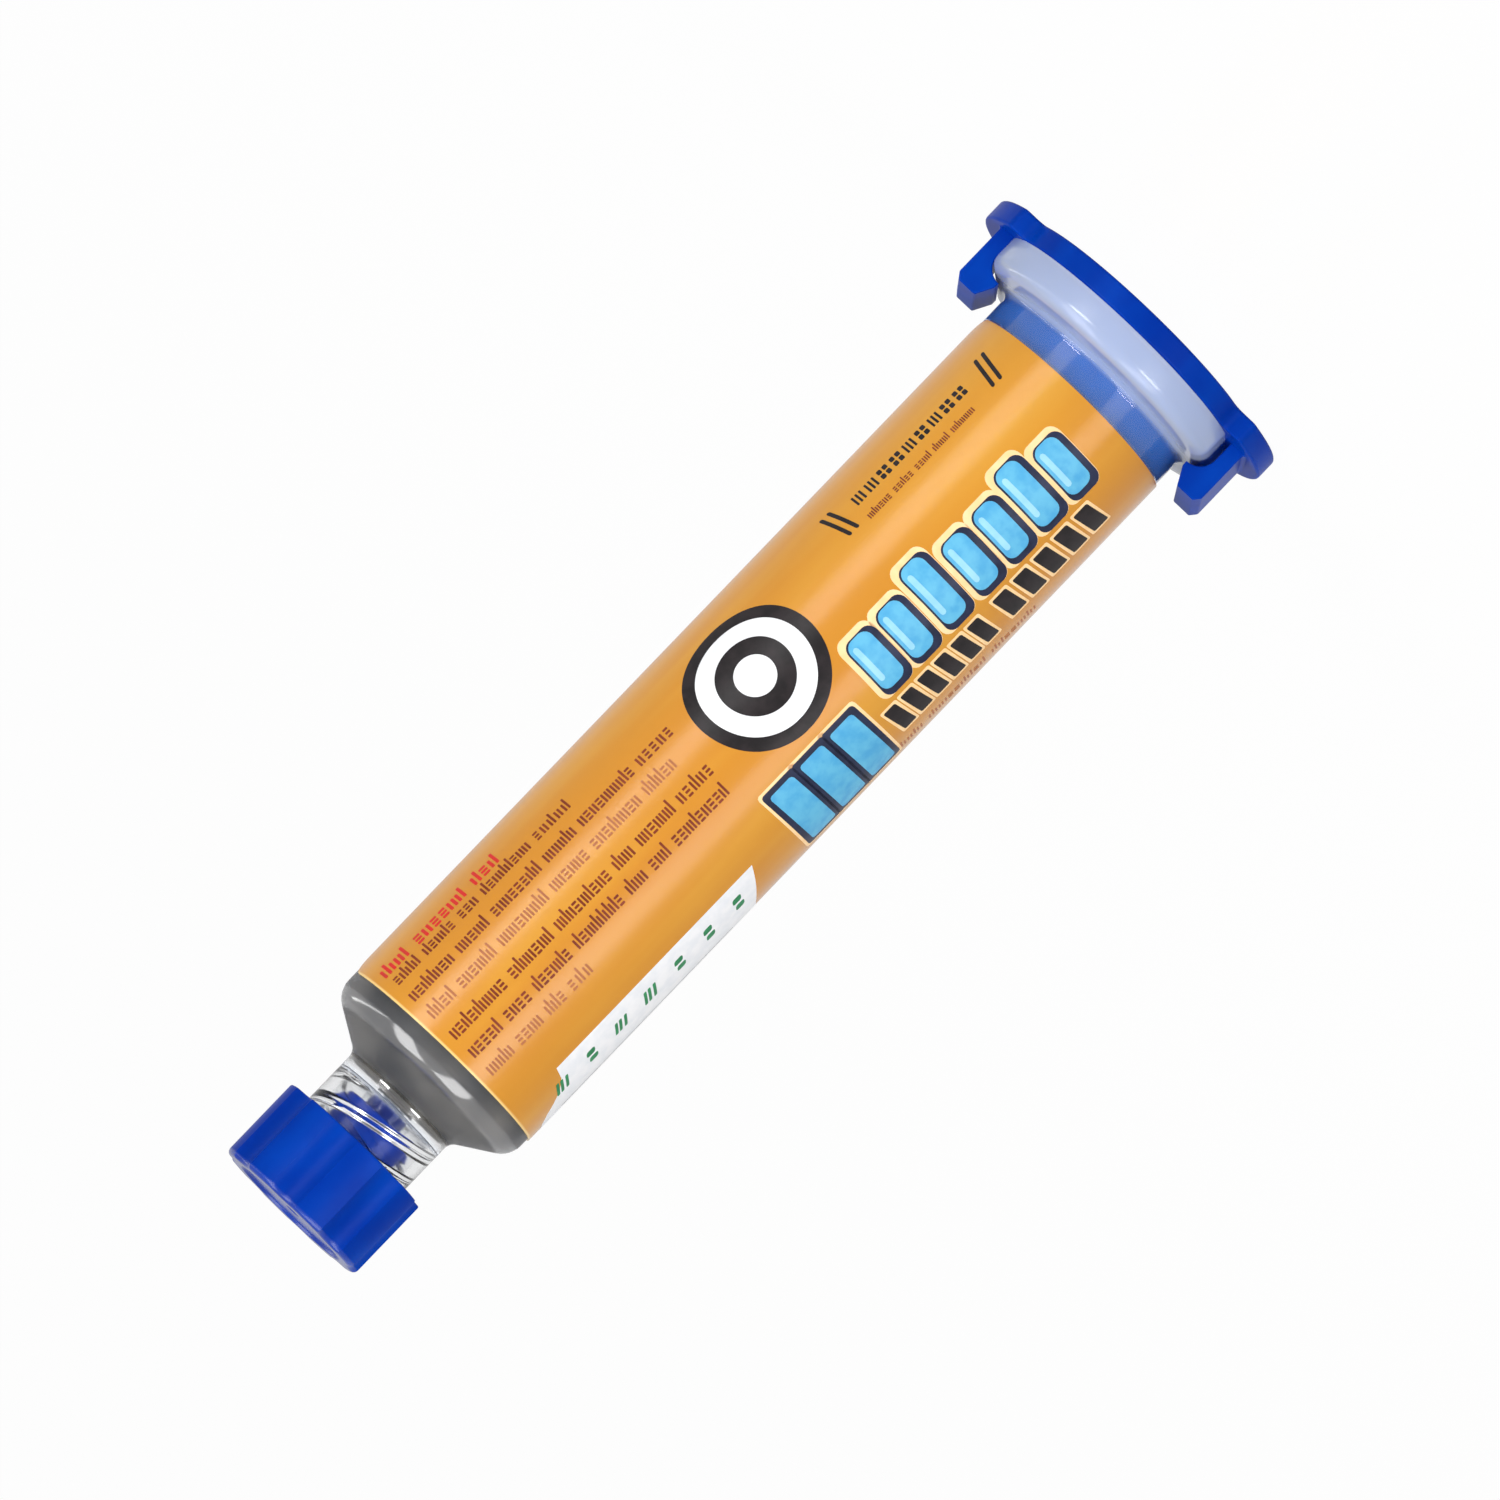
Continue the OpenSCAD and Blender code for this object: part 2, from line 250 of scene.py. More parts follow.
class Recipe(Graph):
    """A Geometry Nodes tree with named inputs, which is run on a plain mesh."""

    def __init__(self, name: str, inputs: dict[str, str]) -> None:
        """Makes the tree.

        Args:
            name: the tree's name.
            inputs: socket type of each input beside the geometry.
        """
        tree = bpy.data.node_groups.new(name, "GeometryNodeTree")
        super().__init__(tree)
        tree.interface.new_socket("Geometry", in_out="INPUT", socket_type="NodeSocketGeometry")
        self.names = {
            key: tree.interface.new_socket(key, in_out="INPUT", socket_type=kind).identifier
            for key, kind in inputs.items()
        }
        tree.interface.new_socket("Geometry", in_out="OUTPUT", socket_type="NodeSocketGeometry")
        self.source = tree.nodes.new("NodeGroupInput")

    def input(self, name: str) -> Socket:
        """The named input as a value for other nodes."""
        return Socket(self, self.source.outputs[name])

    def spun(self, shape: Socket, count: Socket, start: Socket) -> Socket:
        """Sets equal copies round Z.

        Args:
            shape: what is copied.
            count: number of copies.
            start: angle of the first copy, in radians.

        Returns:
            The copies as instances.
        """
        points = self.add("GeometryNodePoints", None, {"Count": count})
        angle = self.add("GeometryNodeInputIndex") * TURN / count + start
        spin = self.add("ShaderNodeCombineXYZ", None, {"Z": angle})
        return self.add(
            "GeometryNodeInstanceOnPoints", None, {"Points": points, "Instance": shape, "Rotation": spin}
        )

    def close(self, geometry: Socket, finish: Socket) -> None:
        """Ends the tree with real geometry in its material."""
        real = self.add("GeometryNodeRealizeInstances", None, {0: geometry})
        merged = self.add("GeometryNodeMergeByDistance", None, {"Geometry": real, "Distance": 1e-6})
        done = self.add("GeometryNodeSetMaterial", None, {"Geometry": merged, "Material": finish})
        self.add("NodeGroupOutput", None, {0: done})

    def run(self, name: str, shell: "Shell", **values: Any) -> bpy.types.Object:
        """Runs the tree on a mesh and keeps only the result.

        Args:
            name: name of the new piece.
            shell: what the tree starts from.
            values: the tree's inputs, underscores for blanks.

        Returns:
            The piece as a plain mesh without a modifier.
        """
        obj = shell.to_object(name)
        modifier = obj.modifiers.new("recipe", "NODES")
        modifier.node_group = self.tree
        for key, value in values.items():
            modifier[self.names[key.replace("_", " ")]] = value
        shape = obj.evaluated_get(bpy.context.evaluated_depsgraph_get())
        mesh = bpy.data.meshes.new_from_object(shape)
        obj.modifiers.remove(modifier)
        obj.data = mesh
        mesh.name = name
        return obj


# Mesh making


def face_outwards(mesh: bpy.types.Mesh) -> None:
    """Merges the doubles of a closed skin and turns its faces outwards."""
    skin_mesh = bmesh.new()
    skin_mesh.from_mesh(mesh)
    bmesh.ops.remove_doubles(skin_mesh, verts=skin_mesh.verts, dist=1e-7)
    bmesh.ops.recalc_face_normals(skin_mesh, faces=skin_mesh.faces)
    skin_mesh.to_mesh(mesh)
    skin_mesh.free()


@dataclass
class Shell:
    """Points in millimetres and the faces between them."""

    points: list[tuple[float, float, float]] = field(default_factory=list)
    faces: list[tuple[int, ...]] = field(default_factory=list)
    edges: list[tuple[int, int]] = field(default_factory=list)

    def __add__(self, other: "Shell") -> "Shell":
        """Both shells in one."""
        shift = len(self.points)
        return Shell(
            self.points + other.points,
            self.faces + [tuple(i + shift for i in face) for face in other.faces],
            self.edges + [(a + shift, b + shift) for a, b in other.edges],
        )

    def turned(self, angle: float) -> "Shell":
        """The same shell turned about Z by an angle in radians."""
        spin = Matrix.Rotation(angle, 3, "Z")
        return Shell([tuple(spin @ Vector(p)) for p in self.points], self.faces, self.edges)

    def to_object(self, name: str, outward: bool = True) -> bpy.types.Object:
        """Makes a Blender object in metres.

        Args:
            name: name of the object and its mesh.
            outward: whether the doubles are merged and the faces turned outwards.

        Returns:
            The object, linked to the scene.
        """
        mesh = bpy.data.meshes.new(name)
        scaled = [(x * MM, y * MM, z * MM) for x, y, z in self.points]
        mesh.from_pydata(scaled, self.edges, self.faces)
        if outward and self.faces:
            face_outwards(mesh)
        obj = bpy.data.objects.new(name, mesh)
        bpy.context.scene.collection.objects.link(obj)
        return obj


def ring(radius: float | Row, z: float | Row, angles: Row) -> Row:
    """Points round the axis at a radius and height that may change with the angle."""
    return np.stack(
        [radius * np.cos(angles), radius * np.sin(angles), np.broadcast_to(z, angles.shape)], axis=1
    )


def skin(rows: Sequence[Row], tube: bool = False, whole: bool = True) -> Shell:
    """Joins rows of points with quads.

    Args:
        rows: equally long rows of points.
        tube: whether the last row joins the first.
        whole: whether each row closes on itself.

    Returns:
        The skin.
    """
    count = len(rows[0])
    last_row = len(rows) if tube else len(rows) - 1
    last_column = count if whole else count - 1
    faces = [
        (
            i * count + j,
            i * count + (j + 1) % count,
            (i + 1) % len(rows) * count + (j + 1) % count,
            (i + 1) % len(rows) * count + j,
        )
        for i in range(last_row)
        for j in range(last_column)
    ]
    return Shell([tuple(p) for row in rows for p in row], faces)


def fillet(corners: Sequence[tuple[float, float, float]], closed: bool = False) -> list[tuple]:
    """Rounds the corners of an outline.

    Args:
        corners: two coordinates and the radius of each corner, 0 for a sharp one.
        closed: whether the outline is a loop.

    Returns:
        The outline's points.
    """
    step = math.radians(11)
    points = []
    for i, (x, y, radius) in enumerate(corners):
        corner = Vector((x, y))
        inner = closed or 0 < i < len(corners) - 1
        if radius <= 0 or not inner:
            points.append((x, y))
            continue
        before = (Vector(corners[i - 1][:2]) - corner).normalized()
        after = (Vector(corners[(i + 1) % len(corners)][:2]) - corner).normalized()
        half = before.angle(after) / 2
        centre = corner + (before + after).normalized() * radius / math.sin(half)
        start = corner + before * radius / math.tan(half) - centre
        sweep = (math.pi - 2 * half) * (1 if before.cross(after) < 0 else -1)
        count = max(2, math.ceil(abs(sweep) / step))
        for k in range(count + 1):
            points.append(tuple(centre + Matrix.Rotation(sweep * k / count, 2) @ start))
    return points


def held(outline: Sequence[tuple], gap: float = 0.05) -> list[tuple]:
    """Adds a point close to both ends of each long straight, so that shading stays flat there."""
    points = [outline[0]]
    for a, b in zip(outline, outline[1:]):
        length = math.dist(a, b)
        if length > 8 * gap:
            share = gap / length
            points.append((a[0] + (b[0] - a[0]) * share, a[1] + (b[1] - a[1]) * share))
            points.append((b[0] - (b[0] - a[0]) * share, b[1] - (b[1] - a[1]) * share))
        points.append(b)
    return points


def turned_skin(corners: Sequence[tuple], angles: Row, tube: bool = False) -> Shell:
    """Turns an outline of radius, height and corner radius about the axis."""
    outline = fillet(corners, closed=tube)
    if tube:
        outline.append(outline[0])
    outline = held(outline)
    if tube:
        outline.pop()
    return skin([ring(r, z, angles) for r, z in outline], tube=tube)


def prism(outline: Sequence[tuple], height: float, edge: float) -> Shell:
    """Stands an outline up into a block with rounded edges at both ends.

    Args:
        outline: points of the plan, anticlockwise.
        height: thickness along Z.
        edge: radius of the rounded edges.

    Returns:
        The closed block, from 0 to its height.
    """
    plan = np.array(outline)
    plan = plan[np.linalg.norm(np.roll(plan, -1, axis=0) - plan, axis=1) > 1e-4]
    ahead = np.roll(plan, -1, axis=0) - plan
    ahead /= np.linalg.norm(ahead, axis=1)[:, None]
    normal = np.stack([ahead[:, 1], -ahead[:, 0]], axis=1)
    mitre = normal + np.roll(normal, 1, axis=0)
    mitre /= (mitre * normal).sum(axis=1)[:, None]
    arc = [math.radians(a) for a in (0, 30, 60, 90)]
    levels = [(edge * 1.15, 0.0)]
    levels += [(edge * (1 - math.sin(a)), edge * (1 - math.cos(a))) for a in arc]
    levels += [(0, edge + 0.02)]
    levels += [(inset, height - z) for inset, z in reversed(levels)]
    rows = [np.column_stack([plan - mitre * inset, np.full(len(plan), z)]) for inset, z in levels]
    body = skin(rows)
    count = len(plan)
    top = (len(rows) - 1) * count
    body.faces += [tuple(reversed(range(count))), tuple(range(top, top + count))]
    return body


def sweep_angles(count: int) -> Row:
    """Equal steps round the axis, in radians."""
    return np.linspace(0, TURN, count, endpoint=False)


def settle(
    obj: bpy.types.Object,
    body: Body,
    nodes: Sequence[str] = (),
    material: bpy.types.Material | None = None,
    crease: float = 32.0,
) -> bpy.types.Object:
    """Finishes a piece and puts it on its body.

    Args:
        obj: the piece.
        body: the body that it rides on.
        nodes: CAD nodes that it stands for.
        material: its material, unless it has one.
        crease: angle in degrees from which an edge stays sharp.

    Returns:
        The piece.
    """
    if material is not None:
        obj.data.materials.clear()
        obj.data.materials.append(material)
    obj.data.shade_smooth()
    obj.data.set_sharp_from_angle(angle=math.radians(crease))
    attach(obj, body.value)
    if nodes:
        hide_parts(*nodes)
    LOG.info("%s: %d faces on %s", obj.name, len(obj.data.polygons), body.value)
    return obj


# Finishes


@dataclass(frozen=True)
class ClearPlastic:
    """Natural polypropylene: clear in thin walls and milky in the thick flange."""

    tint: tuple = linear(242, 243, 247)
    collar_tint: tuple = linear(238, 239, 240)
    milk: tuple = linear(192, 203, 222)
    flange_z: tuple[float, float] = (4.8, 5.6)
    flange_haze: float = 0.62
    wall_haze: float = 0.08
    clear_haze: float = 0.02
    clear_z: tuple[float, float] = (8.0, 9.0)
    collar_haze: float = 0.0
    floor_haze: float = 0.15
    floor_z: tuple[float, float, float, float] = (82.9, 83.1, 83.3, 83.6)
    cone_z: tuple[float, float] = (76.9, 77.5)
    collar_z: tuple[float, float] = (81.6, 82.6)
    gloss: float = 0.07
    cone_dull: float = 0.4
    collar_dull: float = 0.05
    tube_coat: float = 0.2
    shine_z: tuple[float, float, float, float] = (78.95, 79.9, 82.4, 82.9)
    soft: tuple[float, float] = (0.3, 0.1)
    cone_haze: float = 0.03

    def material(self) -> bpy.types.Material:
        """Builds the material."""
        finish = Finish("clear polypropylene")
        z = finish.axes()[2]
        grain = finish.noise(420, 1)
        thick = z.ramp(self.flange_z[1] * MM, self.flange_z[0] * MM)
        collar = z.ramp(self.collar_z[0] * MM, self.collar_z[1] * MM)
        cone = z.ramp(self.cone_z[0] * MM, self.cone_z[1] * MM) * (1 - collar)
        near = z.ramp(self.clear_z[1] * MM, self.clear_z[0] * MM)
        haze = thick * (self.flange_haze - self.wall_haze) + near * (self.wall_haze - self.clear_haze)
        haze = haze + collar * (self.collar_haze - self.clear_haze) + cone * self.cone_haze + self.clear_haze
        solid = [level * MM for level in self.floor_z]
        haze = haze + z.ramp(solid[0], solid[1]) * z.ramp(solid[3], solid[2]) * self.floor_haze
        low, high, neck, end = (level * MM for level in self.shine_z)
        wide, narrow = (length * MM for length in self.soft)
        shine = z.ramp(low - wide, low) * z.ramp(high + wide, high)
        shine = shine + z.ramp(neck - narrow, neck) * z.ramp(end + narrow, end)
        normal = finish.bump(grain, 0.04, 0.02 * MM)
        clear = finish.plastic(
            Base_Color=finish.blend(collar, self.tint, self.collar_tint),
            Roughness=cone * self.cone_dull + collar * self.collar_dull + self.gloss,
            IOR=1.49, Specular_Tint=(0.25, 0.25, 0.25, 1.0), Transmission_Weight=1.0,
            Coat_Weight=shine + (1 - collar - cone) * self.tube_coat,
            Coat_Roughness=0.12, Coat_IOR=2.2, Normal=normal,
        )
        milky = finish.plastic(Base_Color=self.milk, Roughness=0.2, IOR=1.49, Normal=normal)
        body = finish.add("ShaderNodeMixShader", None, {0: haze, 1: clear, 2: milky})
        lamp_ray = finish.add("ShaderNodeLightPath", output="Is Shadow Ray")
        passed = finish.add("ShaderNodeBsdfTransparent", None, {0: linear(225, 230, 242)})
        return finish.close(finish.add("ShaderNodeMixShader", None, {0: lamp_ray, 1: body, 2: passed}))


@dataclass(frozen=True)
class MouldedBlue:
    """Blue polyethylene of the caps and the piston, with a satin moulded skin."""

    name: str
    deep: tuple = linear(0, 45, 145)
    fresh: tuple = linear(0, 60, 165)
    # thin: paler blue, painted as a glow where light would come through a thin inner wall
    thin: tuple = linear(0, 94, 180)
    painted_glow_r: float = 0.0
    painted_glow_from_z: float = 1.9
    painted_glow_rise: float = 0.4
    shiny_z: tuple[float, float] = (0.0, 0.0)
    roughness: float = 0.34

    def material(self) -> bpy.types.Material:
        """Builds the material, with a paler blue painted as a glow where light would come through a thin
        inner wall.
        """
        finish = Finish(self.name)
        x, y, z = finish.axes()
        flow = finish.noise(160, 3, (1, 1, 0.5))
        grain = finish.noise(9000, 2)
        tone = finish.blend(flow.ramp(0.35, 0.7), self.deep, self.fresh)
        # Painted glow: inside the given radius and above the given height the blue turns paler, standing in
        # for light that comes through the ring's thin wall
        if self.painted_glow_r > 0:
            edge = (self.painted_glow_r * MM) ** 2
            foot = self.painted_glow_from_z * MM
            inside = (x * x + y * y).ramp(edge * 1.05, edge) * z.ramp(foot, foot + self.painted_glow_rise * MM)
            tone = finish.blend(inside, tone, self.thin)
        polish = z.ramp(self.shiny_z[0] * MM, self.shiny_z[1] * MM) if self.shiny_z[1] else 0.0
        return finish.close(
            finish.plastic(
                Base_Color=tone,
                Roughness=flow * 0.1 + (self.roughness - 0.05),
                IOR=1.51,
                Specular_IOR_Level=0.04,
                Coat_Weight=polish,
                Coat_Roughness=0.2,
                Subsurface_Weight=0.12,
                Subsurface_Radius=(0.2, 0.5, 1.0),
                Subsurface_Scale=0.6 * MM,
                Normal=finish.bump(grain, 0.12, 0.01 * MM),
            )
        )


@dataclass(frozen=True)
class GreyPaste:
    """Solder paste: fine metal powder in flux, smooth and dull."""

    dark: tuple = linear(24, 22, 18)
    pale: tuple = linear(92, 87, 78)

    def material(self) -> bpy.types.Material:
        """Builds the material."""
        finish = Finish("solder paste")
        smear = finish.noise(220, 4)
        powder = finish.noise(26000, 1)
        mottle = smear.ramp(0.3, 0.7) * 0.8 + powder * 0.2
        return finish.close(
            finish.plastic(
                Base_Color=finish.blend(mottle, self.dark, self.pale),
                Roughness=smear * 0.15 + 0.5,
                Specular_IOR_Level=0.12,
                Normal=finish.bump(smear, 0.3, 0.05 * MM),
            )
        )


@dataclass(frozen=True)
class OrangeFilm:
    """Glossy printed film of the label, with soft pale bands at random that run along the barrel: partly the
    film's own streaky tone, partly painted sheen.
    """

    deep: tuple = linear(197, 127, 14)
    main: tuple = linear(206, 140, 22)
    # pale: colour of the lengthwise streaks, partly painted sheen
    pale: tuple = linear(217, 163, 52)
    rim: tuple = linear(248, 216, 140)
    rim_z: tuple[float, float] = (77.35, 77.5)

    def material(self) -> bpy.types.Material:
        """Builds the material."""
        finish = Finish("orange label film")
        streak_and_sheen = finish.noise(210, 3, (1, 1, 0.12))
        warm = finish.noise(60, 2, (1, 1, 0.35))
        tone = finish.blend(warm.ramp(0.3, 0.7), self.deep, self.main)
        # Pale lengthwise streaks at random: partly the film's own tone, partly painted sheen
        tone = finish.blend(streak_and_sheen.ramp(0.45, 0.75) * 0.4, tone, self.pale)
        rim = finish.axes()[2].ramp(self.rim_z[0] * MM, self.rim_z[1] * MM)
        tone = finish.blend(rim * 0.7, tone, self.rim)
        return finish.close(
            finish.plastic(
                Base_Color=tone,
                Roughness=streak_and_sheen * 0.1 + 0.3,
                Specular_IOR_Level=0.12,
                Coat_Weight=1.0,
                Coat_Roughness=0.22,
                Normal=finish.bump(streak_and_sheen, 0.08, 0.03 * MM),
            )
        )


@dataclass(frozen=True)
class Ink:
    """One printing ink on the label."""

    name: str
    colour: tuple
    second: tuple

    def material(self) -> bpy.types.Material:
        """Builds the material, with a slight unevenness of the print."""
        finish = Finish(self.name)
        uneven = finish.noise(900, 3)
        return finish.close(
            finish.plastic(
                Base_Color=finish.blend(uneven.ramp(0.3, 0.7), self.colour, self.second),
                Roughness=uneven * 0.1 + 0.32,
                Specular_IOR_Level=0.25,
            )
        )


# Pieces


@dataclass
class FlangePlan:
    """Plan of the finger flange: two round ends cut off by flats."""

    end_r: float = 11.45
    flat_x: float = 11.15
    reach: float = field(default_factory=lambda: node_box("end_cap")[1].y - 11.45)

    def radius(self, angles: Row, inset: float = 0.0) -> Row:
        """Distance of the edge from the axis.

        Args:
            angles: directions in radians, from the flange's own X.
            inset: how far inside the edge.

        Returns:
            One distance per direction.
        """
        cosine, sine = np.abs(np.cos(angles)), np.abs(np.sin(angles))
        end_r = self.end_r - inset
        round_end = self.reach * sine + np.sqrt(end_r**2 - (self.reach * cosine) ** 2)
        beside = end_r / np.maximum(cosine, 1e-6)
        whole = np.where(round_end * sine >= self.reach, round_end, beside)
        return np.minimum(whole, (self.flat_x - inset) / np.maximum(cosine, 1e-6))


@dataclass
class ClearBarrel:
    """The clear moulding: tube, finger flange, shoulder, luer-lock collar and tip."""

    wall: float = 1.2
    flange_t: float = 3.0
    flange_edge: float = 1.2
    flange_turn: float = math.radians(3.5)
    flange_fillet: float = 0.7
    flange_foot_edge: float = 0.12
    shoulder_z: float = 78.3
    shoulder_r: float = 2.0
    slope: float = math.radians(58)
    neck_fillet: float = 1.0
    collar_r: float = 5.08
    collar_in_r: float = 4.2
    collar_end_z: float = 89.8
    collar_floor_z: float = 83.2
    tip_end_r: float = 1.98
    taper: float = 0.03
    channel_r: float = 1.15
    pocket_r: float = 3.1
    pocket_end_z: float = 82.5
    thread_lead: float = 5.0
    thread_depth: float = 0.45
    thread_half_w: float = 0.6
    thread_fade: float = 0.9
    thread_first: float = 0.82
    thread_row: float = 0.06
    thread_ends: tuple[float, float] = (0.4, 0.3)
    thread_foot: tuple[float, float] = (3, 0.6)
    mouth_edge: float = 0.2
    mouth_depth: float = 0.35
    piston_gap: float = 0.05
    columns: int = 288

    def __post_init__(self) -> None:
        """Takes the main sizes from the frame."""
        self.flange_z = node_box("barrel")[0].z
        self.tip_end_z = node_box("barrel")[1].z
        self.bore_r = node_box("piston")[1].x + self.piston_gap
        self.radius = self.bore_r + self.wall
        self.angles = sweep_angles(self.columns)

    def tip_r(self, z: float) -> float:
        """Radius of the luer tip at a height."""
        return self.tip_end_r + self.taper * (self.tip_end_z - z)

    def _flange_rows(self) -> list[Row]:
        """Rows of the flange, from its inner bottom edge to the tube's fillet."""
        plan = FlangePlan()
        top = self.flange_z + self.flange_t
        own = self.angles - self.flange_turn
        edge, foot = self.flange_edge, self.flange_foot_edge
        levels = [(foot, self.flange_z), (foot / 4, self.flange_z + foot / 4), (0, self.flange_z + foot)]
        levels += [(0, top - edge - 0.05)]
        levels += [
            (edge * (1 - math.cos(a)), top - edge + edge * math.sin(a))
            for a in np.linspace(0, math.pi / 2, 9)
        ]
        return [ring(plan.radius(own, inset), z, self.angles) for inset, z in levels]

    def _outside(self) -> list[tuple]:
        """Outline from the flange's top over the tube and the shoulder to the collar's mouth."""
        top = self.flange_z + self.flange_t
        run = 1 / math.tan(self.slope)
        # Where the shoulder's cone would meet the tube and the collar without any rounding
        corner_z = self.shoulder_z + self.shoulder_r * math.tan(self.slope / 2)
        foot_z = corner_z + (self.radius - self.collar_r) * run
        return fillet([
            (self.radius + self.flange_fillet + 0.06, top, 0),
            (self.radius, top, self.flange_fillet),
            (self.radius, corner_z, self.shoulder_r),
            (self.collar_r, foot_z, self.neck_fillet),
            (self.collar_r, self.collar_end_z, self.mouth_edge),
            (self.collar_in_r, self.collar_end_z, self.mouth_edge),
            (self.collar_in_r, self.collar_end_z - self.mouth_depth, 0),
        ])

    def _thread_rows(self) -> list[Row]:
        """Rows of the collar's inside with its double-start thread, from the mouth down."""
        pitch = self.thread_lead / 2
        first = self.collar_floor_z + self.thread_first
        steep, short = self.thread_foot
        start_z, stop_z = self.collar_end_z - self.thread_ends[0], self.collar_floor_z + self.thread_ends[1]
        rows = []
        for z in np.arange(start_z, stop_z, -self.thread_row):
            phase = (z - first) / pitch - self.angles * 2 / TURN
            off = np.abs((phase + 0.5) % 1 - 0.5) * pitch
            height = 0.5 + 0.5 * np.cos(np.clip(off / self.thread_half_w, 0, 1) * math.pi)
            near_end = min((z - self.collar_floor_z) * steep - short, self.collar_end_z - self.mouth_edge - z)
            near_end /= self.thread_fade
            height = height * min(1, max(0, near_end))
            rows.append(ring(self.collar_in_r - self.thread_depth * height, z, self.angles))
        return rows

    def bore(self, grown: float = 0.0) -> list[tuple[float, float, float]]:
        """Corners of the wetted inside, from the tip's channel down to the straight bore.

        Args:
            grown: how far outside the wall's own surface.

        Returns:
            Radius, height and corner radius of each corner.
        """
        inner_r = self.shoulder_r - self.wall
        inner_z = self.shoulder_z - 0.2 + inner_r * math.tan(self.slope / 2)
        inner_foot = inner_z + (self.bore_r - self.pocket_r) / math.tan(self.slope)
        return [
            (self.channel_r + grown, self.pocket_end_z + grown, 0.15),
            (self.pocket_r + grown, self.pocket_end_z + grown, 0.2),
            (self.pocket_r + grown, inner_foot, 0.4),
            (self.bore_r + grown, inner_z, inner_r),
        ]

    def _inside(self) -> list[tuple]:
        """Outline from the collar's floor over the tip and down the bore to the flange."""
        floor_z, end_z = self.collar_floor_z, self.tip_end_z
        return fillet([
            (self.collar_in_r, floor_z + 0.25, 0),
            (self.collar_in_r, floor_z, 0.12),
            (self.tip_r(floor_z), floor_z, 0.15),
            (self.tip_r(end_z), end_z, 0.2),
            (self.channel_r, end_z, 0.08),
            *self.bore(),
            (self.bore_r, self.flange_z, 0.1),
            (self.bore_r + 1, self.flange_z, 0),
        ])

    def build(self, finish: bpy.types.Material) -> bpy.types.Object:
        """Makes the moulding as one closed skin."""
        rows = self._flange_rows()
        rows += [ring(r, z, self.angles) for r, z in held(self._outside())]
        rows += self._thread_rows()
        rows += [ring(r, z, self.angles) for r, z in held(self._inside())]
        obj = skin(rows, tube=True).to_object("clear_barrel")
        return settle(obj, Body.BARREL, ["barrel"], finish)


@dataclass
class PasteFill:
    """The paste: a column up the bore, made at one length though it gets shorter as the piston rises, and the
    fill in the nose.
    """

    wetting: float = 0.02
    column_end_z: float = 78.1
    tip_end_z: float = 82.95
    left_over: float = 0.3
    overlap: float = 0.01
    columns: int = 240

    def build(self, finish: bpy.types.Material, barrel: ClearBarrel) -> None:
        """Makes both pieces."""
        low = node_box("solder_paste")[0]
        bore = barrel.bore_r + self.wetting
        angles = sweep_angles(self.columns)
        end = self.column_end_z
        column = turned_skin(
            [(0, low.z, 0), (bore, low.z, 0.1), (bore, end, 0), (0, end, 0)], angles
        ).to_object("paste_column")
        settle(column, Body.BARREL, ["solder_paste"], finish)
        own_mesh(column)
        nose = turned_skin(
            [
                (0, end - self.overlap, 0), (bore, end - self.overlap, 0),
                *reversed(barrel.bore(self.wetting)),
                (barrel.channel_r + self.wetting, self.tip_end_z, 0.1), (0, self.tip_end_z, 0),
            ],
            angles,
        ).to_object("paste_nose")
        settle(nose, Body.BARREL, ["solder_paste"], finish)


@dataclass
class WiperPiston:
    """The piston behind the paste: two lips, a waist and a hollow back."""

    hollow_depth: float = 8.5
    back_wall: float = 1.7
    waist: float = 0.4
    lip: float = 1.4
    lip_slope: float = 0.8
    columns: int = 180

    def build(self, finish: bpy.types.Material) -> bpy.types.Object:
        """Makes the piston."""
        low, high = node_box("piston")
        r, waist_r, hollow_r = high.x, high.x - self.waist, high.x - self.back_wall
        floor_z = low.z + self.hollow_depth
        obj = turned_skin(
            [
                (0, floor_z, 0), (hollow_r, floor_z, 0.8), (hollow_r, low.z, 0.3), (r, low.z, 0.5),
                (r, low.z + self.lip, 0.4), (waist_r, low.z + self.lip + self.lip_slope, 0.6),
                (waist_r, high.z - self.lip - self.lip_slope, 0.6), (r, high.z - self.lip, 0.4),
                (r, high.z, 0.4), (0, high.z, 0),
            ],
            sweep_angles(self.columns),
        ).to_object("wiper_piston")
        return settle(obj, Body.PISTON, ["piston"], finish)


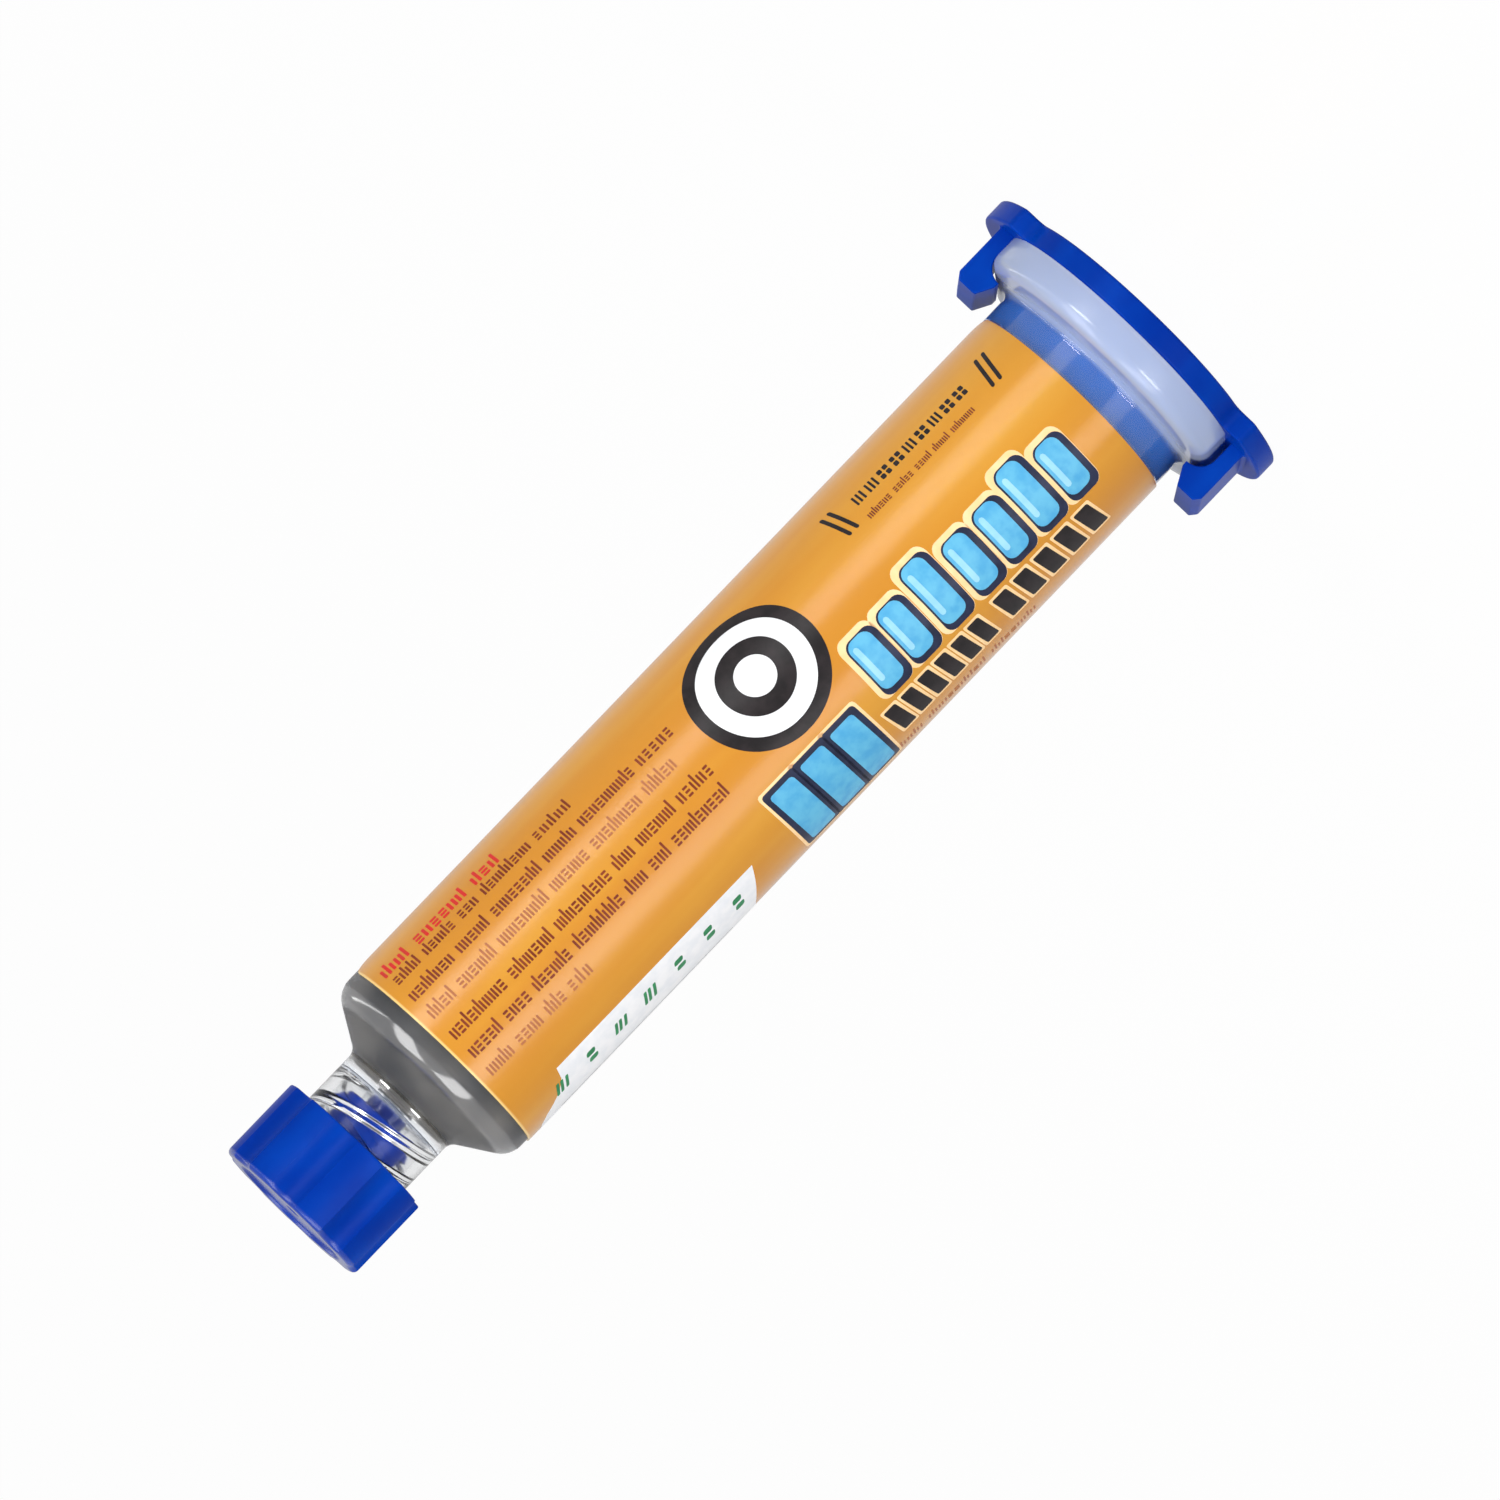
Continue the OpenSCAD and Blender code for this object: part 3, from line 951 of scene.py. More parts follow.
@dataclass
class HookedEndCap:
    """The cap on the flange: plate with two ears, two hooked arms and a plug ring."""

    plate_t: float = 1.9
    ear_half_w: float = 8.0
    ear_corner: tuple = ((0.12, 0.03), (0.25, 0.0))
    ear_corner_turn: float = 0.012
    blend_r: float = 1.1
    edge: float = 0.22
    arm_edge: float = 0.12
    arm_in_x: float = 11.5
    arm_out_x: float = 12.8
    arm_w: float = 8.9
    arm_end_z: float = 7.15
    arm_chamfer: tuple[float, float] = (0.45, 0.55)
    root_r: float = 0.3
    seat_z: float = 0.8
    hook_x: float = 9.95
    catch_z: float = 5.25
    nose_h: float = 0.45
    lead_in: float = 0.78
    ring_grip: float = 0.02
    ring_wall: float = 1.3
    ring_foot_z: float = 1.2
    ring_lead: float = 0.6
    columns: int = 180

    def __post_init__(self) -> None:
        """Takes the outer sizes from the frame."""
        high = node_box("end_cap")[1]
        self.ear_r = high.x
        self.ring_end_z = high.z

    def _plate_plan(self) -> list[tuple]:
        """Plan of the plate, anticlockwise."""
        plan = FlangePlan()
        end_r, reach = plan.end_r, plan.reach
        blend_y = self.ear_half_w + self.blend_r
        blend_x = math.sqrt((end_r + self.blend_r) ** 2 - (blend_y - reach) ** 2)
        lean = math.atan2(blend_y - reach, blend_x)
        ear_top = math.asin(self.ear_half_w / self.ear_r)

        def arc(x: float, y: float, r: float, start: float, end: float, count: int) -> list[tuple]:
            """Points of an arc about a centre."""
            return [(x + r * math.cos(a), y + r * math.sin(a)) for a in np.linspace(start, end, count)]

        quarter = arc(0, 0, self.ear_r, 0, ear_top - self.ear_corner_turn, 20)
        corner_x = self.ear_r * math.cos(ear_top)
        quarter += [(corner_x - x, self.ear_half_w - y) for x, y in self.ear_corner]
        quarter += arc(blend_x, blend_y, self.blend_r, 1.5 * math.pi, math.pi + lean, 10)
        quarter += arc(0, reach, end_r, lean, math.pi / 2, 40)[1:]
        left = [(-x, y) for x, y in reversed(quarter[:-1])]
        upper = quarter + left
        return upper + [(-x, -y) for x, y in upper[1:-1]]

    def _arm(self) -> Shell:
        """One hooked arm on the +X side."""
        catch_r = self.arm_in_x - self.hook_x
        root_r, top = self.root_r, self.arm_end_z
        chamfer_x, chamfer_z = self.arm_chamfer
        outer = fillet([
            (self.arm_in_x, self.seat_z, 0), (self.arm_out_x + root_r, self.seat_z, 0),
            (self.arm_out_x + root_r, self.plate_t, 0), (self.arm_out_x, self.plate_t, root_r),
            (self.arm_out_x, top - chamfer_z, 0.3), (self.arm_out_x - chamfer_x, top, 0.2),
            (self.hook_x + self.lead_in, top, 0.2), (self.hook_x, self.catch_z + self.nose_h, 0.15),
            (self.hook_x, self.catch_z, 0),
        ])
        catch = [
            (self.hook_x + catch_r * math.cos(a), self.catch_z - catch_r + catch_r * math.sin(a))
            for a in np.linspace(math.pi / 2, 0, 12)
        ]
        block = prism(outer + catch[1:], self.arm_w, self.arm_edge)
        points = [(x, self.arm_w / 2 - depth, z) for x, z, depth in block.points]
        return Shell(points, block.faces)

    def build(self, finish: bpy.types.Material) -> bpy.types.Object:
        """Makes the cap as one mesh of closed shells."""
        arm = self._arm()
        ring_r = ClearBarrel().bore_r + self.ring_grip
        ring_in_r = ring_r - self.ring_wall
        ring_skin = turned_skin(
            [
                (ring_in_r, self.ring_foot_z, 0), (ring_r, self.ring_foot_z, 0),
                (ring_r, self.ring_end_z - self.ring_lead, 0.2),
                (ring_r - self.ring_lead / 2, self.ring_end_z, 0.15), (ring_in_r, self.ring_end_z, 0.25),
            ],
            sweep_angles(self.columns), tube=True,
        )
        whole = prism(self._plate_plan(), self.plate_t, self.edge) + arm + arm.turned(math.pi) + ring_skin
        obj = whole.to_object("hooked_end_cap")
        return settle(obj, Body.BARREL, ["end_cap"], finish)


@dataclass
class ScrewTipCap:
    """The tip cap: fluted skirt with a closed end, and the plug with its double-start thread."""

    lobes: int = 8
    flute_depth: float = 0.48
    flute_turn: float = math.radians(7)
    skirt_in_r: float = 5.65
    end_t: float = 1.0
    dish: float = 0.25
    dish_r: float = 5.1
    gate_depth: float = 0.12
    edge: float = 0.45
    plug_r: float = 3.25
    pin_end_z: float = 83.0
    pin_grip: float = 0.02
    taper_gap: float = 0.054
    radius: float = 6.775
    rim_z: float = 87.1
    rim_edge: tuple = ((0, 0.2), (0, 0.15), (0.04, 0.04), (0.15, 0))
    thread_lead: float = 5.0
    thread_starts: int = 2
    thread_turn: float = math.radians(166)
    thread_run_in: float = 0.8
    thread_to_z: float = 91.0
    thread_fade_share: float = 0.08
    thread_least: float = 0.15
    ridge_h: float = 0.8
    ridge_root_w: float = 1.24
    ridge_crest_w: float = 0.56
    crease: float = 28
    columns: int = 60

    def __post_init__(self) -> None:
        """Takes the outer sizes from the frame."""
        low, high = node_box("tip_cap")
        self.plug_end_z = low.z
        self.end_z = high.z

    def _fluted_r(self, angles: Row, inset: float) -> Row:
        """Distance of the fluted wall from the axis, in one sector whose flute is in the middle."""
        half = math.pi / self.lobes / 2
        rise = self.radius * math.cos(half) - (self.radius - self.flute_depth)
        chord = self.radius * math.sin(half)
        cutter = (chord**2 + rise**2) / (2 * rise)
        centre = self.radius - self.flute_depth + cutter
        inside = np.clip(cutter**2 - (centre * np.sin(angles)) ** 2, 0, None)
        flute = centre * np.cos(angles) - np.sqrt(inside)
        return np.where(np.abs(angles) < half, flute, self.radius) - inset

    def _sector(self) -> Shell:
        """One sector of the whole cap, from the end's middle round the rim to the hole in the plug."""
        span = math.pi / self.lobes
        angles = np.linspace(-span, span, self.columns + 1)
        inner_z = self.end_z - self.end_t
        arc = np.linspace(math.pi / 2, 0, 7)
        wall = [(self.edge * (1 - math.cos(a)), self.end_z - self.edge * (1 - math.sin(a))) for a in arc]
        wall += [(0, self.end_z - self.edge - 0.05)]
        wall += [(inset, self.rim_z + up) for inset, up in self.rim_edge]
        tip = ClearBarrel()
        mouth_r = tip.tip_r(self.plug_end_z) + self.taper_gap
        end_r = tip.tip_r(tip.tip_end_z) + self.taper_gap
        pin_r = tip.channel_r + self.pin_grip
        inside = held(fillet([
            (self.skirt_in_r + 0.3, self.rim_z, 0), (self.skirt_in_r, self.rim_z, 0.15),
            (self.skirt_in_r, inner_z, 0.3), (self.plug_r, inner_z, 0.2),
            (self.plug_r, self.plug_end_z, 0.25), (mouth_r, self.plug_end_z, 0.1),
            (end_r, tip.tip_end_z + 0.4, 0.2), (end_r, inner_z, 0.2), (pin_r, inner_z, 0.1),
            (pin_r, self.pin_end_z, 0.3), (0, self.pin_end_z, 0),
        ]))
        dish_z = self.end_z - self.dish
        gate_z = dish_z - self.gate_depth
        dish = held(fillet([
            (0, gate_z, 0), (0.55, gate_z, 0.1), (0.7, dish_z, 0.1), (self.dish_r, dish_z, 0.12),
            (self.dish_r + 0.1, self.end_z, 0.1), (self.dish_r + 0.5, self.end_z, 0),
        ]))
        rows = [ring(r, z, angles) for r, z in dish[:-1]]
        rows += [ring(self._fluted_r(angles, inset), z, angles) for inset, z in wall]
        rows += [ring(r, z, angles) for r, z in inside]
        return skin(rows, whole=False)

    def _sector_recipe(self) -> Recipe:
        """Tree that repeats one sector round the axis."""
        tree = Recipe(
            "lobes round the cap",
            {"Lobes": "NodeSocketInt", "Turn": "NodeSocketFloat", "Finish": "NodeSocketMaterial"},
        )
        placed = tree.spun(tree.input("Geometry"), tree.input("Lobes"), tree.input("Turn"))
        tree.close(placed, tree.input("Finish"))
        return tree

    def _thread_recipe(self) -> Recipe:
        """Tree that winds a ridge up the plug and repeats it for each start."""
        tree = Recipe(
            "thread on the plug",
            {
                "Radius": "NodeSocketFloat", "Height": "NodeSocketFloat", "Turns": "NodeSocketFloat",
                "Start": "NodeSocketFloat", "Base": "NodeSocketFloat", "Starts": "NodeSocketInt",
                "Finish": "NodeSocketMaterial",
            },
        )
        coil = tree.add(
            "GeometryNodeCurveSpiral", None,
            {
                "Resolution": 72, "Rotations": tree.input("Turns"), "Start Radius": tree.input("Radius"),
                "End Radius": tree.input("Radius"), "Height": tree.input("Height"),
            },
        )
        share = tree.add("GeometryNodeSplineParameter")
        fade, least = self.thread_fade_share, self.thread_least
        size = share.ramp(0, fade) * (1 - share.ramp(1 - fade, 1.0)) * (1 - least) + least
        tapered = tree.add("GeometryNodeSetCurveRadius", None, {"Curve": coil, "Radius": size})
        upright = tree.add("GeometryNodeSetCurveNormal", {"mode": "Z_UP"}, {"Curve": tapered})
        ridge = tree.add(
            "GeometryNodeCurveToMesh", None,
            {"Curve": upright, "Profile Curve": self._ridge_profile(tree), "Fill Caps": True},
        )
        wound = tree.spun(ridge, tree.input("Starts"), tree.input("Start"))
        lift = tree.add("ShaderNodeCombineXYZ", None, {"Z": tree.input("Base")})
        moved = tree.add("GeometryNodeTranslateInstances", None, {"Instances": wound, "Translation": lift})
        tree.close(moved, tree.input("Finish"))
        return tree

    def _ridge_profile(self, tree: Recipe) -> Socket:
        """Trapezoid of the ridge, as a profile curve."""
        return tree.add(
            "GeometryNodeCurvePrimitiveQuadrilateral", {"mode": "TRAPEZOID"},
            {
                "Height": self.ridge_h * MM, "Bottom Width": self.ridge_root_w * MM,
                "Top Width": self.ridge_crest_w * MM, "Offset": 0.0,
            },
        )

    def build(self, finish: bpy.types.Material) -> None:
        """Makes the cap and the thread on its plug."""
        cap = self._sector_recipe().run(
            "fluted_tip_cap", self._sector(), Lobes=self.lobes, Turn=self.flute_turn, Finish=finish
        )
        face_outwards(cap.data)
        settle(cap, Body.TIP_CAP, ["tip_cap"], crease=self.crease)
        from_z = self.plug_end_z + self.thread_run_in
        height = self.thread_to_z - from_z
        thread = self._thread_recipe().run(
            "plug_thread", Shell([(0, 0, 0)]),
            Radius=self.plug_r * MM, Height=height * MM, Turns=height / self.thread_lead,
            Start=self.thread_turn, Base=from_z * MM, Starts=self.thread_starts, Finish=finish,
        )
        settle(thread, Body.TIP_CAP, crease=self.crease)


@dataclass(frozen=True)
class Patch:
    """Flat field of print or film: columns side by side round the barrel.

    Each column is an arc round the barrel with the lowest and highest height there.
    """

    columns: tuple[tuple[float, float, float], ...]
    cell: float = 0.35
    # Arcs stop short of their tangents, so that no end column has zero height
    corner_arc = math.radians(86)
    disc_arc = (math.radians(176), math.radians(4))

    @classmethod
    def rounded(
        cls, width: float, length: float, corner: float = 0.0, across: float = 0.0,
        along: float = 0.0, slant: float = 0.0,
    ) -> "Patch":
        """Rounded rectangle.

        Args:
            width: size round the barrel.
            length: size along the barrel.
            corner: radius of the corners.
            across: middle round the barrel.
            along: middle along the barrel.
            slant: lean, as a rise along the barrel for each millimetre round it.

        Returns:
            The patch.
        """
        half_w, half_l = width / 2, length / 2
        corner = min(corner, half_w, half_l)
        steps = max(2, math.ceil(corner * 6)) if corner > 0 else 0
        ends = [
            (half_w - corner * (1 - math.sin(a)), half_l - corner * (1 - math.cos(a)))
            for a in np.linspace(0, cls.corner_arc, steps + 1)
        ]
        sides = [(-x, z) for x, z in reversed(ends)] + ends
        return cls(tuple((across + x, along + slant * x - z, along + slant * x + z) for x, z in sides))

    @classmethod
    def disc(cls, radius: float, across: float, along: float) -> "Patch":
        """Round patch."""
        angles = np.linspace(*cls.disc_arc, 45)
        rows = [(radius * math.cos(a), radius * math.sin(a)) for a in angles]
        return cls(tuple((across + x, along - z, along + z) for x, z in rows))

    def grown(self, edge: float) -> "Patch":
        """The same patch, larger by an edge all round."""
        low, high = self.columns[0][0], self.columns[-1][0]
        middle, stretch = (low + high) / 2, 1 + 2 * edge / (high - low)
        rows = [(middle + (x - middle) * stretch, a - edge, b + edge) for x, a, b in self.columns]
        return Patch(tuple(rows), self.cell)

    def shell(self, top: float, base: float = -0.01) -> Shell:
        """Closed slab in the flat frame: X round the barrel, Y outwards, Z along it.

        Args:
            top: height of its face over the film.
            base: height of its back, below 0 where it is sunk into the film.

        Returns:
            The slab.
        """
        columns = [self.columns[0]]
        for start, end in zip(self.columns, self.columns[1:]):
            count = max(1, math.ceil((end[0] - start[0]) / self.cell))
            shares = [k / count for k in range(1, count + 1)]
            columns += [tuple(np.interp(share, (0, 1), pair) for pair in zip(start, end)) for share in shares]
        points = [
            (float(x), depth, float(z)) for x, low, high in columns for depth, z in
            ((top, low), (top, high), (base, high), (base, low))
        ]
        faces = [(3, 2, 1, 0)]
        for i in range(4, len(points), 4):
            faces += [(i - 4 + k, i - 4 + (k + 1) % 4, i + (k + 1) % 4, i + k) for k in range(4)]
        last = len(points) - 4
        return Shell(points, faces + [(last, last + 1, last + 2, last + 3)])


@dataclass(frozen=True)
class Line:
    """Straight row of print along the barrel.

    across is the arc from the front's middle, positive to the right with the flange up.
    """

    across: float
    from_z: float
    to_z: float
    word_marks = (3, 9)
    last_gap = 0.9
    word_gap = 1.9

    def words(self, pitch: float, seed: int) -> list["Line"]:
        """Cuts the row into pieces of three to nine marks with gaps between them."""
        dice = Random(seed)
        parts, z = [], self.to_z
        while z - 2 * pitch > self.from_z:
            length = pitch * (dice.randint(*self.word_marks) - self.last_gap)
            end = max(z - length, self.from_z)
            parts.append(Line(self.across, end, z))
            z = end - pitch * self.word_gap
        return parts


class Wrap:
    """Geometry Nodes tree that sets marks along lines and bends them round the barrel."""

    front = math.radians(265.5)

    def __init__(self, radius: float) -> None:
        """Builds the tree for film and print at a radius."""
        self.radius = radius
        tree = Recipe(
            "print round the barrel",
            {
                "First": "NodeSocketObject", "Second": "NodeSocketObject", "Third": "NodeSocketObject",
                "Kinds": "NodeSocketInt", "Pitch": "NodeSocketFloat", "Spread": "NodeSocketFloat",
                "Radius": "NodeSocketFloat", "Front": "NodeSocketFloat", "Seed": "NodeSocketInt",
                "Ink": "NodeSocketMaterial",
            },
        )
        path = tree.add("GeometryNodeMeshToCurve", None, {0: tree.input("Geometry")})
        stops = tree.add(
            "GeometryNodeResampleCurve", {"mode": "LENGTH", "keep_last_segment": False},
            {"Curve": path, "Length": tree.input("Pitch")},
        )
        marks = tree.add("GeometryNodeJoinGeometry")
        for name in ("Third", "Second", "First"):
            mark = tree.add(
                "GeometryNodeObjectInfo", None, {"Object": tree.input(name), "As Instance": True}, "Geometry"
            )
            tree.tree.links.new(mark.output, marks.output.node.inputs[0])
        kind = tree.add(
            "FunctionNodeRandomValue", {"data_type": "INT"},
            {4: 0, 5: tree.input("Kinds") - 1, "Seed": tree.input("Seed")}, 2,
        )
        size = tree.add(
            "FunctionNodeRandomValue", {"data_type": "FLOAT"},
            {2: 1 - tree.input("Spread"), 3: 1.0, "Seed": tree.input("Seed") + 1}, 1,
        )
        scale = tree.add("ShaderNodeCombineXYZ", None, {"X": size, "Y": 1.0, "Z": 1.0})
        placed = tree.add(
            "GeometryNodeInstanceOnPoints", None,
            {
                "Points": stops, "Instance": marks, "Pick Instance": True, "Instance Index": kind,
                "Scale": scale,
            },
        )
        real = tree.add("GeometryNodeRealizeInstances", None, {0: placed})
        across = tree.add("ShaderNodeSeparateXYZ", None, {0: tree.add("GeometryNodeInputPosition")})
        depth, along = (Socket(tree, across.output.node.outputs[i]) for i in (1, 2))
        angle = tree.input("Front") - across / tree.input("Radius")
        out = tree.input("Radius") + depth
        bent = tree.add(
            "ShaderNodeCombineXYZ", None,
            {"X": out * tree.maths("COSINE", angle), "Y": out * tree.maths("SINE", angle), "Z": along},
        )
        wrapped = tree.add("GeometryNodeSetPosition", None, {"Geometry": real, "Position": bent})
        tree.close(wrapped, tree.input("Ink"))
        self.tree = tree

    def run(
        self, name: str, lines: Sequence[Line], marks: Sequence[Shell], ink: bpy.types.Material,
        pitch: float = ONE_MARK, spread: float = 0.0, seed: int = 1, front: float | None = None,
    ) -> bpy.types.Object:
        """Sets marks along lines.

        Args:
            name: name of the piece.
            lines: where the marks go. A line shorter than the pitch gets one mark.
            marks: up to three kinds of mark, in the flat frame.
            ink: their material.
            pitch: distance from mark to mark.
            spread: how much lower a mark may be.
            seed: seed of the kinds and heights.
            front: direction of the arc's zero, unless it is the front's middle.

        Returns:
            The bent piece.
        """
        kinds = [mark.to_object("mark", outward=False) for mark in marks]
        points, edges = [], []
        for line in lines:
            edges.append((len(points), len(points) + 1))
            points += [(line.across, 0, line.from_z), (line.across, 0, line.to_z)]
        named = dict(zip(("First", "Second", "Third"), kinds))
        obj = self.tree.run(
            name, Shell(points, [], edges), Kinds=len(kinds), Pitch=pitch * MM, Spread=spread,
            Radius=self.radius * MM, Front=self.front if front is None else front, Seed=seed, Ink=ink,
            **named,
        )
        for kind in kinds:
            bpy.data.objects.remove(kind)
        return obj


@dataclass
class WrapLabel:
    """The film round the barrel, with a gap between its ends on the +X side."""

    thickness: float = 0.16
    gap: float = 3.5
    corner: float = 1.8

    def __post_init__(self) -> None:
        """Takes the label's place from the frame."""
        low, high = node_box("label")
        self.low_z, self.high_z = low.z, high.z
        self.wrap = Wrap(high.y)

    def build(self, finish: bpy.types.Material) -> bpy.types.Object:
        """Makes the film as a closed thin skin."""
        width = TURN * self.wrap.radius - self.gap
        film = Patch.rounded(width, self.high_z - self.low_z, self.corner)
        middle = (self.low_z + self.high_z) / 2
        obj = self.wrap.run(
            "label_film", [Line(0, middle, middle + SHORT)], [film.shell(0, -self.thickness)], finish,
            front=math.pi,
        )
        return settle(obj, Body.BARREL, ["label"])


class LabelPrint:
    """Generic print on the label: rows of strokes in place of words, and fields of colour."""

    lift = 0.012
    low_share = 0.68
    side_share = 0.27
    bar_share = 0.74
    corner_share = 0.3
    bar_shares = (0.1, 0.5, 0.9)

    def __init__(self, label: WrapLabel) -> None:
        """Keeps the tree that bends the print round the barrel."""
        self.wrap = label.wrap
        self.inks: dict[str, bpy.types.Material] = {}

    def _ink(self, ink: Ink) -> bpy.types.Material:
        """The ink's material, made once."""
        if ink.name not in self.inks:
            self.inks[ink.name] = ink.material()
        return self.inks[ink.name]

    def _mark(self, patches: Sequence[Patch], layer: int) -> Shell:
        """Patches of one layer in one shell."""
        return sum((patch.shell(self.lift * layer) for patch in patches), Shell())

    def field(self, name: str, patches: Sequence[Patch], ink: Ink, layer: int = 1) -> None:
        """Prints some patches that hold their own place.

        Args:
            name: name of the piece.
            patches: the fields of colour.
            ink: their colour.
            layer: print layer, counted from the film.
        """
        obj = self.wrap.run(name, [Line(0, 0, SHORT)], [self._mark(patches, layer)], self._ink(ink))
        settle(obj, Body.BARREL)

    def row(
        self, name: str, lines: Sequence[Line], patches: Sequence[Sequence[Patch]], ink: Ink,
        pitch: float, spread: float = 0.0, layer: int = 1, seed: int = 1,
    ) -> None:
        """Prints marks along some lines.

        Args:
            name: name of the piece.
            lines: where they go.
            patches: for each kind of mark, the patches that make it up.
            ink: their colour.
            pitch: distance from mark to mark.
            spread: how much lower a mark may be.
            layer: print layer, counted from the film.
            seed: seed of the kinds and heights.
        """
        marks = [self._mark(group, layer) for group in patches]
        obj = self.wrap.run(name, lines, marks, self._ink(ink), pitch, spread, seed)
        settle(obj, Body.BARREL)

    def text(
        self, name: str, lines: Sequence[Line], ink: Ink, height: float, pitch: float,
        weight: float, seed: int,
    ) -> None:
        """Prints rows of plain strokes, grouped as words are, that stand for text.

        Args:
            name: name of the piece.
            lines: foot of each row.
            ink: its colour.
            height: height of the tallest stroke.
            pitch: distance from mark to mark.
            weight: thickness of a stroke.
            seed: seed of the groups and marks.
        """
        low, side, bar = height * self.low_share, pitch * self.side_share, pitch * self.bar_share
        corner = weight * self.corner_share

        def stroke(along: float, tall: float) -> Patch:
            """Stroke that stands on the foot of the row."""
            return Patch.rounded(tall, weight, corner, -tall / 2, along)

        pair = [stroke(-side, low), stroke(side, low)]
        step = [stroke(-side, height), stroke(side, low)]
        stack = [Patch.rounded(weight, bar, corner, -low * share, 0) for share in self.bar_shares]
        words = [part for i, line in enumerate(lines) for part in line.words(pitch, seed + i)]
        self.row(name, words, [pair, step, stack], ink, pitch, 0.0, 1, seed)


# Studio


@dataclass(frozen=True)
class Softbox:
    """A soft lamp, placed round the barrel as seen from the camera."""

    name: str
    side: float
    elevation: float
    distance: float
    width: float
    height: float
    power: float


@dataclass
class Studio:
    """Camera, lamps, white floor and world."""

    azimuth: float = math.radians(-4.5)
    elevation: float = math.radians(5.53)
    distance: float = 1.39
    focal: float = 434.6
    sensor: float = 36.0
    aim: tuple[float, float, float] = (-0.8, 0.0, 44.14)
    tip_on_screen: tuple[float, float] = (-0.693, -0.721)
    floor_half: float = 9000.0
    floor_z: float = -0.02
    floor_gloss: float = 0.45
    air_gloss: float = 0.4
    floor_glow: float = 0.97
    air_light: float = 0.28
    lamp_aim_z: float = 45.0
    softboxes: tuple[Softbox, ...] = (
        Softbox("left softbox", -45, 46, 0.9, 0.42, 0.86, 3.95),
        Softbox("right softbox", 39, 46, 0.9, 0.42, 0.86, 3.7),
        Softbox("left low strip", -37, 6, 0.92, 0.34, 0.19, 2.6),
        Softbox("right low strip", 37, 6, 0.92, 0.36, 0.19, 2.5),
        Softbox("left rim strip", -102, 27, 0.9, 1.2, 0.08, 0.8),
    )

    def _towards(self, side: float, elevation: float) -> Vector:
        """Direction from the barrel, by degrees to the right of the camera and above the floor."""
        angle = math.radians(270) + self.azimuth - math.radians(side)
        high = math.radians(elevation)
        return Vector((math.cos(angle) * math.cos(high), math.sin(angle) * math.cos(high), math.sin(high)))

    def camera(self) -> None:
        """Makes the camera and rolls it so that the tip points to the lower left."""
        data = bpy.data.cameras.new("camera")
        data.lens, data.sensor_width = self.focal, self.sensor
        data.clip_end = 20
        obj = bpy.data.objects.new("camera", data)
        back = self._towards(0, math.degrees(self.elevation))
        aim = Vector(self.aim) * MM
        right = Vector((0, 0, 1)).cross(back).normalized()
        upright = Matrix((right, back.cross(right), back)).transposed().to_4x4()
        roll = Matrix.Rotation(math.atan2(*self.tip_on_screen), 4, "Z")
        obj.matrix_world = Matrix.Translation(aim + back * self.distance) @ upright @ roll
        bpy.context.scene.collection.objects.link(obj)
        bpy.context.scene.camera = obj

    def lamps(self) -> None:
        """Hangs the softboxes."""
        aim = Vector((0, 0, self.lamp_aim_z * MM))
        for box in self.softboxes:
            lamp = bpy.data.lights.new(box.name, "AREA")
            lamp.shape, lamp.size, lamp.size_y, lamp.energy = "RECTANGLE", box.width, box.height, box.power
            obj = bpy.data.objects.new(box.name, lamp)
            way = self._towards(box.side, box.elevation)
            obj.location = aim + way * box.distance
            obj.rotation_euler = way.to_track_quat("Z", "Y").to_euler()
            bpy.context.scene.collection.objects.link(obj)

    @staticmethod
    def _seen(finish: Graph, gloss: float = 1.0) -> Socket:
        """Share of the plain white that a ray sees: all from the camera and through glass.

        Args:
            finish: the tree that asks.
            gloss: share for rays that a gloss sends on.

        Returns:
            The share, 0 to 1.
        """
        ray = finish.add("ShaderNodeLightPath")
        outputs = ray.output.node.outputs
        glossy, through = (Socket(finish, outputs[f"Is {kind} Ray"]) for kind in ("Glossy", "Transmission"))
        return finish.maths("MINIMUM", ray + through + glossy * gloss, 1.0)

    def floor(self) -> None:
        """Lays a wide white semi-gloss floor that keeps the shadow."""
        finish = Finish("white studio floor")
        fleck = finish.noise(3, 2)
        paint = finish.plastic(
            Base_Color=finish.blend(fleck, linear(226, 226, 226), linear(232, 232, 232)), Roughness=0.22
        )
        glow = finish.add("ShaderNodeEmission", None, {"Color": (1, 1, 1, 1), "Strength": 1.0})
        share = self._seen(finish, self.floor_gloss) * self.floor_glow
        shader = finish.add("ShaderNodeMixShader", None, {0: share, 1: paint, 2: glow})
        places = np.linspace(-self.floor_half, self.floor_half, 7)
        rows = [np.array([(x, y, self.floor_z) for x in places]) for y in places]
        obj = skin(rows, whole=False).to_object("studio_floor")
        for polygon in obj.data.polygons:
            if polygon.normal.z < 0:
                polygon.flip()
        obj.data.materials.append(finish.close(shader))

    def world(self) -> None:
        """Sets a soft even light that looks white from the camera."""
        world = bpy.data.worlds.new("studio air")
        world.use_nodes = True
        bpy.context.scene.world = world
        graph = Graph(world.node_tree)
        strength = self._seen(graph, self.air_gloss) * (1 - self.air_light) + self.air_light
        air = graph.add("ShaderNodeBackground", None, {"Color": (1, 1, 1, 1), "Strength": strength})
        graph.add("ShaderNodeOutputWorld", None, {"Surface": air})

    def build(self) -> None:
        """Sets up everything round the syringe."""
        self.camera()
        self.lamps()
        self.floor()
        self.world()
        bpy.context.scene.view_settings.view_transform = "Standard"
        LOG.info("studio: %d lamps", len(self.softboxes))


